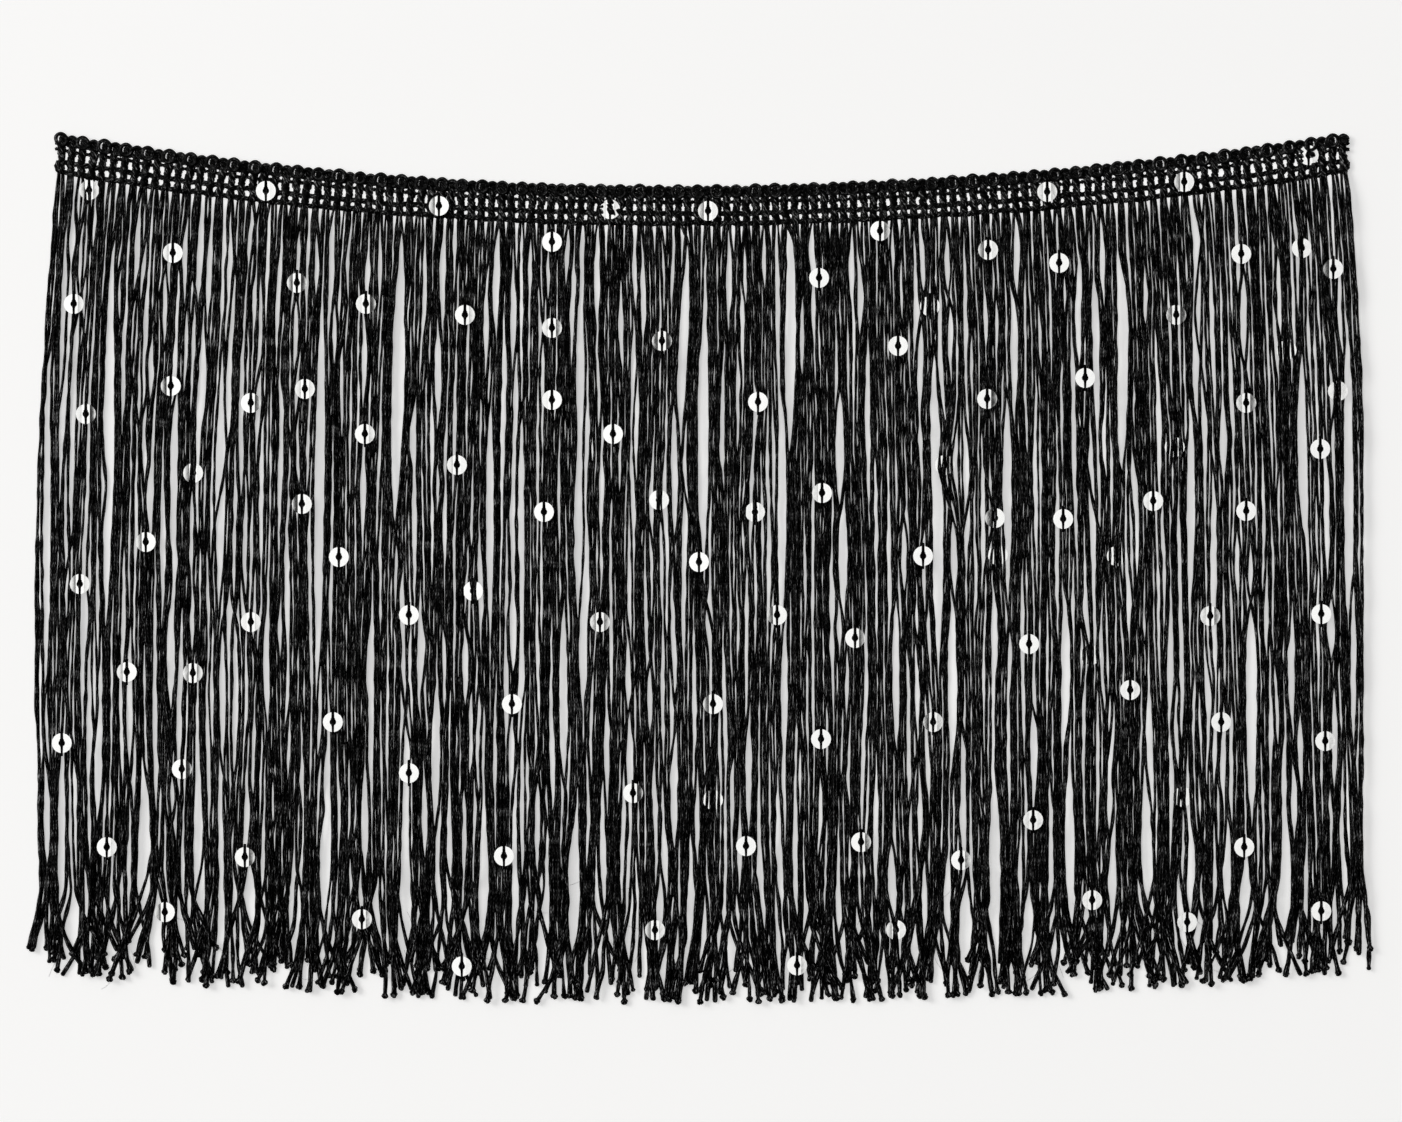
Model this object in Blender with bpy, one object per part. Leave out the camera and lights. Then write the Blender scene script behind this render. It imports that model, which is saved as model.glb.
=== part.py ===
"""Sequin fringe: a cut length of chainette fringe trimming, laid flat on its back.

An openwork heading tape curves along the far edge. A narrow strip below it carries the
strands, which lie in two layers, gather into clumps and splay at their ends. Flat
sequins lie on them.

Frame: X runs along the heading, Y from the strand ends to the heading, Z up from the
surface. The origin is under the middle of the piece.
"""

from collections import namedtuple

import bmesh
import bpy
import numpy as np

MM = 0.001

# Whole piece as it lies
WIDTH = 404.4 * MM
DEPTH = 262.2 * MM
AIR = 0.3 * MM                    # between neighbouring pieces, and between the layers

# Heading tape: its top edge is two half parabolas that meet at the low point
HEADING_LEFT = -193.0 * MM
HEADING_RIGHT = 195.0 * MM
LOW_POINT = -8.7 * MM
RISE = 16.0 * MM                  # how far both ends stand above the low point
WALES = 120
LOOP_DEPTH = 3.6 * MM             # row of loops along the top edge
SCALLOP = 0.75 * MM               # how far the loops stand out from the edge
BAND_DEPTH = 10.2 * MM            # loops and openwork together
EDGE_THICKNESS = 1.6 * MM
BAND_THICKNESS = 2.2 * MM
LOOP_CROWNS = (2.5 * MM, 2.15 * MM)   # loops stand forward and back in turn
UPRIGHT_POWER = 12                # how late along the tape its wales turn upright

# Strip that the strands are caught in
STRIP_TOP = BAND_DEPTH + AIR
ROOT_DEPTH = 12.0 * MM
LAYER_HEIGHT = 1.1 * MM
STRIP_THICKNESS = 2 * LAYER_HEIGHT + AIR

# Strands: a lower and an upper one under each wale
STRANDS = 2 * WALES
STRAND_LENGTH = 237.0 * MM
STRAND_WIDTH = 1.3 * MM
ROOT_WIDTH = 1.25 * MM
TIP_WIDTH = 1.9 * MM              # the cut end frays out
TIP_LENGTH = 2.4 * MM
SHORTEST_BY = 6.0 * MM            # ragged lengths
FAN = 30.0 * MM                   # drop over which strands turn from square to upright
LEVELS = (0.06, 0.34, 0.60, 0.84, 1.0)    # where a strand bends, as shares of its length
PARTING_REACH = 6.0 * MM          # strands this near to a parting give way to it
SPLAY = 4.2 * MM                  # how far strand ends lean over each other
SPLAY_WAVE = 27.0 * MM            # the lean changes sides along the hem at this length
SEED = 7

# Sequins
SEQUIN_DIAMETER = 6.0 * MM
SEQUIN_HOLE = 1.7 * MM
SEQUIN_THICKNESS = 0.3 * MM
SEQUIN_SIDES = 10
HOLE_SIDES = 5
SEQUIN_LEVEL = STRIP_THICKNESS + AIR

# The layout tables count in steps of a sheet, x to the right and y down from its top
# left corner. A sequin is 20 steps across.
STEP = 0.3 * MM
SHEET_MIDDLE_X = 699
SHEET_MIDDLE_Y = 570

# Partings between clumps: a lens-shaped gap on an upright line
Parting = namedtuple("Parting", "x top bottom width")
PARTINGS = (
    Parting(46, 400, 520, 8),
    Parting(46, 760, 930, 9),
    Parting(98, 660, 800, 11),
    Parting(108, 290, 600, 13),
    Parting(144, 770, 960, 11),
    Parting(200, 230, 470, 10),
    Parting(228, 600, 790, 10),
    Parting(249, 840, 990, 13),
    Parting(289, 640, 800, 8),
    Parting(319, 320, 660, 9),
    Parting(322, 740, 960, 13),
    Parting(397, 300, 560, 12),
    Parting(407, 830, 980, 10),
    Parting(434, 620, 830, 12),
    Parting(442, 260, 500, 8),
    Parting(482, 640, 800, 10),
    Parting(485, 840, 970, 10),
    Parting(538, 770, 980, 12),
    Parting(570, 400, 740, 11),
    Parting(573, 800, 980, 13),
    Parting(629, 640, 860, 8),
    Parting(658, 840, 970, 9),
    Parting(673, 640, 830, 8),
    Parting(697, 380, 560, 14),
    Parting(749, 630, 835, 9),
    Parting(779, 790, 970, 10),
    Parting(786, 340, 640, 12),
    Parting(838, 340, 640, 10),
    Parting(848, 640, 790, 8),
    Parting(891, 830, 950, 11),
    Parting(895, 600, 780, 9),
    Parting(950, 440, 780, 11),
    Parting(966, 860, 990, 16),
    Parting(994, 780, 990, 14),
    Parting(1006, 360, 600, 9),
    Parting(1031, 640, 800, 8),
    Parting(1030, 870, 970, 12),
    Parting(1066, 600, 790, 9),
    Parting(1112, 790, 970, 11),
    Parting(1130, 400, 600, 11),
    Parting(1146, 780, 960, 10),
    Parting(1190, 360, 600, 10),
    Parting(1227, 830, 950, 8),
    Parting(1252, 620, 790, 12),
    Parting(1246, 870, 990, 14),
    Parting(1290, 840, 980, 15),
    Parting(1298, 400, 560, 10),
    Parting(1337, 620, 800, 7),
)

# Sequins that show whole, each at its centre
Place = namedtuple("Place", "x y")
SEQUINS = (
    Place(266, 191),
    Place(439, 206),
    Place(1047, 192),
    Place(1184, 182),
    Place(173, 253),
    Place(552, 242),
    Place(880, 231),
    Place(988, 250),
    Place(1241, 254),
    Place(74, 304),
    Place(366, 304),
    Place(465, 315),
    Place(552, 328),
    Place(819, 278),
    Place(1059, 263),
    Place(1176, 315),
    Place(171, 386),
    Place(305, 389),
    Place(898, 346),
    Place(1085, 378),
    Place(86, 414),
    Place(365, 434),
    Place(552, 400),
    Place(758, 402),
    Place(987, 399),
    Place(613, 434),
    Place(457, 465),
    Place(1320, 449),
    Place(302, 504),
    Place(544, 512),
    Place(822, 493),
    Place(1063, 519),
    Place(1246, 511),
    Place(146, 542),
    Place(339, 557),
    Place(699, 562),
    Place(923, 556),
    Place(251, 622),
    Place(409, 615),
    Place(600, 622),
    Place(855, 638),
    Place(1029, 644),
    Place(1210, 616),
    Place(127, 672),
    Place(512, 704),
    Place(333, 722),
    Place(62, 743),
    Place(821, 739),
    Place(1221, 722),
    Place(409, 773),
    Place(633, 793),
    Place(1033, 820),
    Place(107, 847),
    Place(504, 856),
    Place(746, 846),
    Place(1244, 847),
)


def across(x):
    """X of a place on the layout sheet."""
    return (x - SHEET_MIDDLE_X) * STEP


def along(y):
    """Y of a place on the layout sheet, whose own y runs down."""
    return (SHEET_MIDDLE_Y - y) * STEP


def edge_span(x):
    """Distance from the low point to the heading's end on the side where x lies."""
    return np.where(x < LOW_POINT, LOW_POINT - HEADING_LEFT, HEADING_RIGHT - LOW_POINT)


def edge_height(x):
    """Y of the heading's top edge at x: a parabola on each side of the low point."""
    share = (x - LOW_POINT) / edge_span(x)
    return DEPTH / 2 - RISE * (1 - share ** 2)


def edge_slope(x):
    """Slope of the heading's top edge at x."""
    return 2 * RISE * (x - LOW_POINT) / edge_span(x) ** 2


def tape_point(x, depth):
    """The place at a depth below the top edge, down the wale that starts at x.

    Wales stand square to the curved edge, and upright at the tape's two cut ends.
    """
    share = (x - LOW_POINT) / edge_span(x)
    lean = edge_slope(x) * (1 - share ** UPRIGHT_POWER)
    return x + lean * depth, edge_height(x) - depth


def spread_apart(places, spacing):
    """Move ordered places as little as needed to keep them a spacing apart.

    The mean of two running limits: each place pushed right by those on its left, and
    pushed left by those on its right.
    """
    offsets = spacing * np.arange(len(places))
    pushed_right = np.maximum.accumulate(places - offsets) + offsets
    pushed_left = np.minimum.accumulate((places - offsets)[::-1])[::-1] + offsets
    return (pushed_right + pushed_left) / 2


def parted(natural_x, y):
    """Move strands off the partings that reach the line at y.

    A parting opens as a half sine wave along its length, and its push fades evenly to
    nothing for strands that lie PARTING_REACH away.
    """
    moved = natural_x.copy()
    for parting in PARTINGS:
        share = (along(parting.top) - y) / ((parting.bottom - parting.top) * STEP)
        opening = np.sin(np.pi * np.clip(share, 0, 1)) * parting.width * STEP / 2
        away = natural_x - across(parting.x)
        push = opening * np.clip(1 - np.abs(away) / PARTING_REACH, 0, 1)
        moved += np.where(away < 0, -push, push)
    return moved


def strand_lines():
    """X and Y of every strand at its root and at each of its levels."""
    wale_starts = np.linspace(HEADING_LEFT, HEADING_RIGHT, STRANDS + 1)
    heads = (wale_starts[:-1] + wale_starts[1:]) / 2
    root_x, root_y = tape_point(heads, ROOT_DEPTH)
    upper = np.arange(STRANDS) % 2 == 1
    lean = np.where(upper, 1.0, -1.0) * SPLAY * np.sin(2 * np.pi * root_x / SPLAY_WAVE)
    columns = [(root_x, root_y)]
    for level in LEVELS:
        drop = level * STRAND_LENGTH
        fanned = root_x + edge_slope(heads) * FAN * (1 - np.exp(-drop / FAN))
        y = root_y - drop
        x = fanned
        if level > LEVELS[0]:
            x = parted(fanned, y)
        if level == LEVELS[-1]:
            x = x + lean
            x[0] = (TIP_WIDTH - WIDTH) / 2
            x[-1] = (WIDTH - TIP_WIDTH) / 2
        if level > LEVELS[0]:
            width = TIP_WIDTH if level == LEVELS[-1] else STRAND_WIDTH
            for layer in (upper, ~upper):
                x[layer] = spread_apart(x[layer], width + AIR)
        columns.append((x, y))
    return np.array(columns).transpose(2, 0, 1)


def strand_rings():
    """Three corners of each strand's section, ring by ring from its root to its tip.

    A section is a triangle that lies on its flat side: left corner, right corner, ridge.
    """
    lines = strand_lines()
    draw = np.random.default_rng(SEED)
    cut_off = SHORTEST_BY * draw.random(STRANDS) ** 2
    cut_off[[0, -1]] = 0
    last_run = (LEVELS[-1] - LEVELS[-2]) * STRAND_LENGTH
    lowest = lines[:, -1, 1] + cut_off
    cut_off += np.maximum(-DEPTH / 2 - lowest, 0)
    before, end = lines[:, -2], lines[:, -1]
    tip = end + (before - end) * (cut_off / last_run)[:, None]
    neck = end + (before - end) * ((cut_off + TIP_LENGTH) / last_run)[:, None]
    path = np.concatenate([lines[:, :-1], neck[:, None], tip[:, None]], axis=1)

    rings = np.zeros((STRANDS, path.shape[1], 3, 3))
    rings[:, :, :, :2] = path[:, :, None, :]
    half_widths = np.full(path.shape[1], STRAND_WIDTH / 2)
    half_widths[0] = ROOT_WIDTH / 2
    half_widths[-1] = TIP_WIDTH / 2
    rings[:, :, 0, 0] -= half_widths
    rings[:, :, 1, 0] += half_widths
    rings[:, 1:, 2, 2] = LAYER_HEIGHT
    rings[1::2, 1:, :, 2] += LAYER_HEIGHT + AIR
    rings[:, 0, 2, 2] = STRIP_THICKNESS
    return rings


def new_material(name, colour, roughness, metallic):
    """A Principled material in one plain colour."""
    material = bpy.data.materials.new(name)
    material.use_nodes = True
    shader = material.node_tree.nodes["Principled BSDF"]
    shader.inputs["Base Color"].default_value = (*colour, 1.0)
    shader.inputs["Roughness"].default_value = roughness
    shader.inputs["Metallic"].default_value = metallic
    material.diffuse_color = (*colour, 1.0)
    return material


def finish(bm, name, material, smooth_angle=None):
    """Turn a bmesh into a mesh object with its faces pointing out."""
    bmesh.ops.recalc_face_normals(bm, faces=bm.faces)
    mesh = bpy.data.meshes.new(name)
    bm.to_mesh(mesh)
    bm.free()
    if smooth_angle is not None:
        mesh.shade_smooth()
        mesh.set_sharp_from_angle(angle=smooth_angle)
    mesh.materials.append(material)
    piece = bpy.data.objects.new(name, mesh)
    bpy.context.collection.objects.link(piece)
    return piece


def corner_row(bm, xs, ys, z):
    """A row of vertices at one height."""
    return [bm.verts.new((x, y, z)) for x, y in zip(xs, ys)]


def build_heading(material):
    """Tape with a flat back, a flat front band and a row of raised loops at its edge."""
    bm = bmesh.new()
    pitch = (HEADING_RIGHT - HEADING_LEFT) / WALES
    seams = HEADING_LEFT + pitch * np.arange(WALES + 1)
    middles = seams[:-1] + pitch / 2

    valley_x, valley_y = tape_point(seams, SCALLOP)
    near_x, near_y = tape_point(seams[:-1] + pitch / 4, 0.0)
    far_x, far_y = tape_point(seams[:-1] + 3 * pitch / 4, 0.0)
    crown_x, crown_y = tape_point(middles, LOOP_DEPTH / 2)
    base_x, base_y = tape_point(seams, LOOP_DEPTH)
    hem_x, hem_y = tape_point(seams, BAND_DEPTH)

    valley_low = corner_row(bm, valley_x, valley_y, 0.0)
    near_low = corner_row(bm, near_x, near_y, 0.0)
    far_low = corner_row(bm, far_x, far_y, 0.0)
    hem_low = corner_row(bm, hem_x, hem_y, 0.0)
    valley_high = corner_row(bm, valley_x, valley_y, EDGE_THICKNESS)
    near_high = corner_row(bm, near_x, near_y, EDGE_THICKNESS)
    far_high = corner_row(bm, far_x, far_y, EDGE_THICKNESS)
    base = corner_row(bm, base_x, base_y, BAND_THICKNESS)
    hem_high = corner_row(bm, hem_x, hem_y, BAND_THICKNESS)

    for j in range(WALES):
        crown = bm.verts.new((crown_x[j], crown_y[j], LOOP_CROWNS[j % 2]))
        rim = [valley_high[j], near_high[j], far_high[j], valley_high[j + 1], base[j + 1], base[j]]
        for corner, following in zip(rim, rim[1:] + rim[:1]):
            bm.faces.new((crown, corner, following))
        edge_low = [valley_low[j], near_low[j], far_low[j], valley_low[j + 1]]
        for k in range(3):
            bm.faces.new((edge_low[k], edge_low[k + 1], rim[k + 1], rim[k]))
        bm.faces.new((base[j], base[j + 1], hem_high[j + 1], hem_high[j]))
        bm.faces.new((hem_high[j], hem_high[j + 1], hem_low[j + 1], hem_low[j]))
        bm.faces.new((*edge_low, hem_low[j + 1], hem_low[j]))
    for end in (0, WALES):
        bm.faces.new((valley_low[end], valley_high[end], base[end], hem_high[end], hem_low[end]))
    return finish(bm, "heading", material, smooth_angle=np.radians(40))


def build_fringe(material):
    """Strip with the strands grown out of its front wall, as one closed mesh."""
    bm = bmesh.new()
    rings = strand_rings()
    corners = [[[bm.verts.new(corner) for corner in ring] for ring in strand] for strand in rings]

    for strand in corners:
        for ring, following in zip(strand[:-1], strand[1:]):
            for k in range(3):
                after = (k + 1) % 3
                bm.faces.new((ring[k], ring[after], following[after], following[k]))
        bm.faces.new(strand[-1])

    pitch = (HEADING_RIGHT - HEADING_LEFT) / WALES
    middles = HEADING_LEFT + pitch * (np.arange(WALES) + 0.5)
    back_x, back_y = tape_point(middles, STRIP_TOP)
    back_low = corner_row(bm, back_x, back_y, 0.0)
    back_high = corner_row(bm, back_x, back_y, STRIP_THICKNESS)
    left = [strand[0][0] for strand in corners]
    right = [strand[0][1] for strand in corners]
    ridge = [strand[0][2] for strand in corners]

    for i in range(STRANDS - 1):
        bm.faces.new((right[i], left[i + 1], ridge[i + 1], ridge[i]))
    for k in range(WALES):
        first, second = 2 * k, 2 * k + 1
        bm.faces.new((ridge[first], ridge[second], back_high[k]))
        bm.faces.new((left[first], right[first], back_low[k]))
        bm.faces.new((right[first], left[second], back_low[k]))
        bm.faces.new((left[second], right[second], back_low[k]))
    for k in range(WALES - 1):
        last, following = 2 * k + 1, 2 * k + 2
        bm.faces.new((ridge[last], ridge[following], back_high[k + 1], back_high[k]))
        bm.faces.new((right[last], left[following], back_low[k + 1], back_low[k]))
        bm.faces.new((back_low[k], back_low[k + 1], back_high[k + 1], back_high[k]))
    bm.faces.new((left[0], ridge[0], back_high[0], back_low[0]))
    bm.faces.new((right[-1], ridge[-1], back_high[-1], back_low[-1]))
    return finish(bm, "fringe", material)


def sequin_mesh(material):
    """Flat ring: an outer and an inner circle bridged, then raised to its thickness."""
    bm = bmesh.new()
    bmesh.ops.create_circle(bm, segments=SEQUIN_SIDES, radius=SEQUIN_DIAMETER / 2)
    bmesh.ops.create_circle(bm, segments=HOLE_SIDES, radius=SEQUIN_HOLE / 2)
    bmesh.ops.bridge_loops(bm, edges=bm.edges)
    bmesh.ops.triangulate(bm, faces=bm.faces)
    raised = bmesh.ops.extrude_face_region(bm, geom=bm.faces, use_keep_orig=True)
    top = [item for item in raised["geom"] if isinstance(item, bmesh.types.BMVert)]
    bmesh.ops.translate(bm, verts=top, vec=(0, 0, SEQUIN_THICKNESS))
    bmesh.ops.recalc_face_normals(bm, faces=bm.faces)
    mesh = bpy.data.meshes.new("sequin")
    bm.to_mesh(mesh)
    bm.free()
    mesh.materials.append(material)
    return mesh


def build_sequins(material):
    """Sequins laid flat on the strands and the heading; all share one mesh."""
    mesh = sequin_mesh(material)
    pieces = []
    for number, place in enumerate(SEQUINS, start=1):
        sequin = bpy.data.objects.new(f"sequin_{number:02d}", mesh)
        sequin.location = (across(place.x), along(place.y), SEQUIN_LEVEL)
        bpy.context.collection.objects.link(sequin)
        pieces.append(sequin)
    return pieces


def main():
    for leftover in list(bpy.data.objects):
        bpy.data.objects.remove(leftover)
    heading_yarn = new_material("heading_yarn", (0.012, 0.012, 0.013), 0.55, 0.0)
    fringe_yarn = new_material("fringe_yarn", (0.010, 0.010, 0.011), 0.42, 0.0)
    sequin_foil = new_material("sequin_foil", (0.88, 0.88, 0.89), 0.12, 1.0)
    trimming = bpy.data.objects.new("sequin_fringe", None)
    bpy.context.collection.objects.link(trimming)
    pieces = [build_heading(heading_yarn), build_fringe(fringe_yarn)]
    for piece in pieces + build_sequins(sequin_foil):
        piece.parent = trimming


main()
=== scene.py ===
"""Sequin fringe: the looks of a cut length of black chainette fringe trimming.

The heading is an openwork crocheted tape: twisted wales, four cords across them and a row of
round loops. Chainette strands hang from it in four layers, gather into clumps, cross at the
hem and end in small frayed tufts. Flat foil sequins are threaded among them.

X runs along the heading, Y from the hem to the heading and Z up from the surface.
"""

from collections import namedtuple

import bpy
import numpy as np
from bpy.props import FloatProperty, FloatVectorProperty, IntProperty, PointerProperty
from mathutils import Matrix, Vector


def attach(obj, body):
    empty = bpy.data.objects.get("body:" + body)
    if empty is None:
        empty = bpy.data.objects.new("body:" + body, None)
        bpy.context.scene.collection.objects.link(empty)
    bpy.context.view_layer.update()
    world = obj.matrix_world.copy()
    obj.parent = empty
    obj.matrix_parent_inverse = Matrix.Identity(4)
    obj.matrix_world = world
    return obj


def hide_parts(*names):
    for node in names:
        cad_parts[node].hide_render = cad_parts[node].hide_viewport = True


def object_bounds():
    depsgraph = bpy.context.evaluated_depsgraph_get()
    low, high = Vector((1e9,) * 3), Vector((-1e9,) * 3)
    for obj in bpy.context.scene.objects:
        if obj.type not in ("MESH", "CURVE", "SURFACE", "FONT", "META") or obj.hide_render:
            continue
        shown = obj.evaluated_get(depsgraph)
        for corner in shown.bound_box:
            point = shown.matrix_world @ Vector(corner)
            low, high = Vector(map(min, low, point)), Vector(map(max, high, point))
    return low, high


bl_info = {
    "name": "Sequin Fringe",
    "version": (1, 0, 0),
    "blender": (4, 5, 0),
    "location": "3D View > Sidebar > Fringe",
    "description": "Builds a length of chainette fringe trimming with sequins",
    "category": "Add Mesh",
}

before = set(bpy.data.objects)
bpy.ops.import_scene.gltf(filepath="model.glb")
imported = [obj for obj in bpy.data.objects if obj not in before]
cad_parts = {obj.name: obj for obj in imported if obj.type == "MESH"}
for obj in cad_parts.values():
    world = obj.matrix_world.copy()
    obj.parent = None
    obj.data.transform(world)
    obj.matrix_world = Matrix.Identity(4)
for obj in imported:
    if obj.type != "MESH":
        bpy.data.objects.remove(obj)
cad_low, cad_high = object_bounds()

MM = 0.001
UP = np.array((0.0, 0.0, 1.0))
BODY = "root"
LAYERS = 4                        # strands under each wale, one in each layer
EDGE_ROOM = 0.95 * MM             # half a frayed tuft, kept inside the piece's width
BUNDLE_LENGTH = 3.6 * MM          # bundles of filaments along a yarn
SCUFF_LENGTH = 1.6 * MM           # scuffs on the foil

# The layout tables count in steps of a sheet, x to the right and y down from its top left
# corner. A sequin is 20 steps across, and the picture is the sheet from corner to corner.
STEP = 0.3 * MM
SHEET_MIDDLE_X = 699
SHEET_MIDDLE_Y = 570
SHEET_WIDTH = 1402
SHEET_HEIGHT = 1122

# Partings between clumps: a lens-shaped gap about an upright line that may lean, by the
# given steps from its top to its bottom. Each row is x, lean, top, bottom and width.
Parting = namedtuple("Parting", "x lean top bottom width")
PARTINGS = [Parting(*row) for row in (
    (72, -6, 215, 262, 6), (94, -3, 200, 245, 6), (137, -5, 205, 285, 7), (144, 0, 210, 285, 5),
    (184, 0, 225, 290, 7), (200, -4, 205, 300, 9), (224, 0, 235, 268, 5), (250, -5, 205, 300, 8),
    (268, 0, 210, 290, 4), (298, 0, 230, 285, 7), (331, 0, 218, 300, 6), (455, 0, 220, 272, 4),
    (567, -4, 225, 285, 6), (582, -2, 218, 290, 7), (733, 0, 216, 252, 5), (764, 0, 228, 285, 5),
    (812, 6, 230, 288, 8), (893, 0, 232, 262, 5), (1017, -2, 215, 300, 9), (1057, 0, 222, 252, 5),
    (1092, -4, 208, 300, 6), (1103, 0, 222, 295, 8), (63, -5, 215, 400, 6), (119, 0, 262, 335, 4),
    (151, 0, 335, 400, 7), (164, 0, 262, 355, 6), (186, 0, 305, 375, 5), (193, -4, 285, 410, 6),
    (203, 0, 325, 420, 8), (208, 0, 235, 315, 5), (222, 0, 270, 320, 5), (261, 0, 270, 380, 4),
    (281, 0, 345, 420, 6), (296, 0, 295, 370, 6), (317, 0, 232, 300, 6), (334, 0, 305, 370, 6),
    (347, 0, 235, 350, 4), (364, 0, 315, 400, 8), (367, -2, 250, 300, 7), (380, 0, 225, 300, 4),
    (398, -8, 225, 530, 17), (409, 0, 285, 345, 6), (425, 0, 240, 330, 5), (438, 0, 320, 430, 9),
    (442, 0, 235, 310, 8), (486, 0, 275, 368, 6), (496, -4, 222, 330, 9), (505, 0, 340, 400, 6),
    (513, 0, 268, 370, 6), (530, 0, 235, 300, 6), (540, 0, 262, 350, 5), (548, 0, 250, 300, 4),
    (573, -3, 250, 360, 8), (579, 0, 280, 460, 8), (597, 0, 225, 330, 8), (621, 0, 270, 420, 6),
    (634, 0, 245, 310, 5), (644, 0, 250, 345, 6), (673, -6, 240, 300, 5), (683, -12, 225, 480, 12),
    (729, 0, 232, 325, 8), (743, -3, 245, 370, 6), (745, 0, 242, 305, 5), (791, -3, 222, 460, 13),
    (802, 0, 295, 380, 6), (813, 0, 288, 330, 5), (851, 0, 235, 300, 7), (861, 0, 265, 330, 6),
    (920, 0, 300, 420, 9), (923, -2, 235, 310, 6), (936, 0, 262, 350, 7), (947, 0, 228, 300, 7),
    (951, -4, 300, 365, 6), (968, 0, 270, 350, 7), (987, 0, 298, 352, 5), (997, 0, 298, 352, 5),
    (1013, 0, 318, 368, 6), (1015, -2, 290, 430, 8), (1040, 0, 312, 362, 5),
    (1065, 0, 282, 314, 5), (1079, -8, 255, 350, 7), (1097, 0, 288, 365, 7),
    (1123, -6, 270, 475, 13), (1146, 0, 265, 330, 6), (1197, -6, 215, 420, 10),
    (1244, 0, 265, 370, 10), (1279, 0, 245, 375, 9), (1340, 0, 265, 345, 6),
    (108, -6, 240, 640, 15), (143, 0, 405, 525, 7), (172, 0, 400, 560, 6), (222, -3, 400, 600, 7),
    (243, -6, 280, 500, 11), (261, 0, 420, 590, 5), (320, -4, 285, 680, 10), (363, 0, 450, 530, 9),
    (412, 0, 410, 470, 8), (438, 0, 465, 510, 6), (489, 0, 405, 620, 9), (521, 0, 400, 590, 6),
    (602, 0, 455, 520, 7), (674, 0, 395, 550, 10), (703, -2, 310, 550, 15), (840, 0, 390, 505, 12),
    (934, 0, 350, 500, 10), (1007, -2, 390, 605, 12), (1192, 0, 400, 600, 10),
    (1224, 0, 405, 475, 10), (1302, 0, 345, 530, 12), (1349, 0, 320, 640, 12),
    (46, -2, 340, 700, 10), (85, 0, 590, 645, 6), (163, 0, 470, 600, 6), (191, 0, 485, 590, 6),
    (192, 0, 580, 660, 7), (279, 0, 608, 650, 6), (513, 0, 590, 675, 9), (577, 0, 440, 620, 8),
    (598, 0, 510, 620, 5), (709, 0, 595, 645, 10), (747, 0, 590, 645, 6), (783, -2, 400, 640, 9),
    (840, 0, 608, 650, 8), (843, 0, 500, 610, 12), (904, 0, 515, 600, 7), (954, 0, 515, 600, 9),
    (995, 0, 588, 690, 9), (1084, 0, 590, 635, 6), (1135, 0, 460, 600, 12), (1237, 0, 530, 600, 5),
    (1251, 0, 535, 640, 8), (1328, 0, 450, 590, 6), (1331, 0, 595, 662, 11), (98, 0, 660, 830, 12),
    (129, 0, 630, 785, 8), (170, 0, 598, 712, 10), (222, 0, 610, 780, 8), (235, 0, 605, 785, 9),
    (266, 0, 608, 718, 8), (288, 0, 680, 790, 8), (369, 0, 625, 715, 8), (404, 0, 630, 715, 7),
    (408, 0, 712, 765, 7), (423, 0, 625, 698, 7), (436, 0, 685, 830, 12), (465, 0, 628, 710, 9),
    (479, 0, 692, 800, 9), (512, 0, 722, 790, 8), (563, 0, 600, 785, 10), (582, 0, 598, 708, 8),
    (628, 0, 630, 715, 6), (629, 0, 720, 800, 6), (650, 0, 660, 742, 7), (749, 0, 712, 840, 9),
    (784, 0, 625, 770, 8), (847, 0, 650, 712, 6), (866, 0, 660, 720, 5), (896, 0, 590, 755, 10),
    (917, 0, 660, 730, 6), (953, 0, 595, 765, 13), (1010, 0, 628, 690, 6), (1034, 0, 706, 800, 10),
    (1067, 0, 600, 735, 9), (1113, 0, 682, 775, 8), (1170, 0, 625, 700, 8), (1178, 0, 682, 765, 8),
    (1215, 0, 690, 790, 8), (1252, 0, 590, 820, 14), (1292, 0, 608, 720, 9),
    (1300, 0, 722, 780, 8), (1335, 0, 695, 790, 9), (1354, 0, 580, 760, 7), (46, 0, 765, 880, 10),
    (63, 0, 872, 925, 9), (144, 0, 775, 960, 13), (172, 0, 765, 825, 7), (234, 0, 825, 870, 6),
    (249, 0, 790, 850, 7), (273, 0, 765, 840, 5), (294, 0, 858, 950, 9), (325, 0, 765, 960, 13),
    (351, 0, 845, 905, 6), (364, 0, 765, 885, 10), (406, 0, 852, 950, 10), (425, 0, 780, 862, 9),
    (465, 0, 785, 890, 6), (484, 0, 852, 955, 10), (538, 0, 775, 882, 10), (573, 0, 825, 965, 12),
    (630, 0, 880, 930, 6), (660, 0, 848, 965, 10), (674, 0, 700, 860, 11), (691, 0, 872, 945, 9),
    (696, 0, 800, 860, 8), (760, 0, 852, 905, 8), (779, 0, 795, 965, 10), (821, 0, 775, 845, 6),
    (849, 0, 835, 885, 6), (875, 0, 768, 915, 7), (891, 0, 845, 925, 10), (921, 0, 775, 858, 8),
    (925, 0, 875, 935, 7), (947, 0, 862, 920, 8), (995, 0, 780, 965, 13), (1070, 0, 780, 905, 9),
    (1111, 0, 775, 835, 9), (1113, 0, 852, 965, 12), (1146, 0, 780, 965, 11),
    (1191, 0, 828, 905, 9), (1228, 0, 800, 940, 8), (1294, 0, 765, 845, 10),
    (1345, 0, 850, 940, 10), (107, 0, 880, 985, 11), (249, 0, 860, 960, 14), (437, 0, 880, 940, 7),
    (545, 0, 892, 985, 11), (838, 0, 872, 960, 8), (965, 0, 880, 1000, 17),
    (1028, 0, 893, 1000, 16), (1246, 0, 862, 990, 16), (1284, 0, 875, 990, 16),
)]

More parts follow.
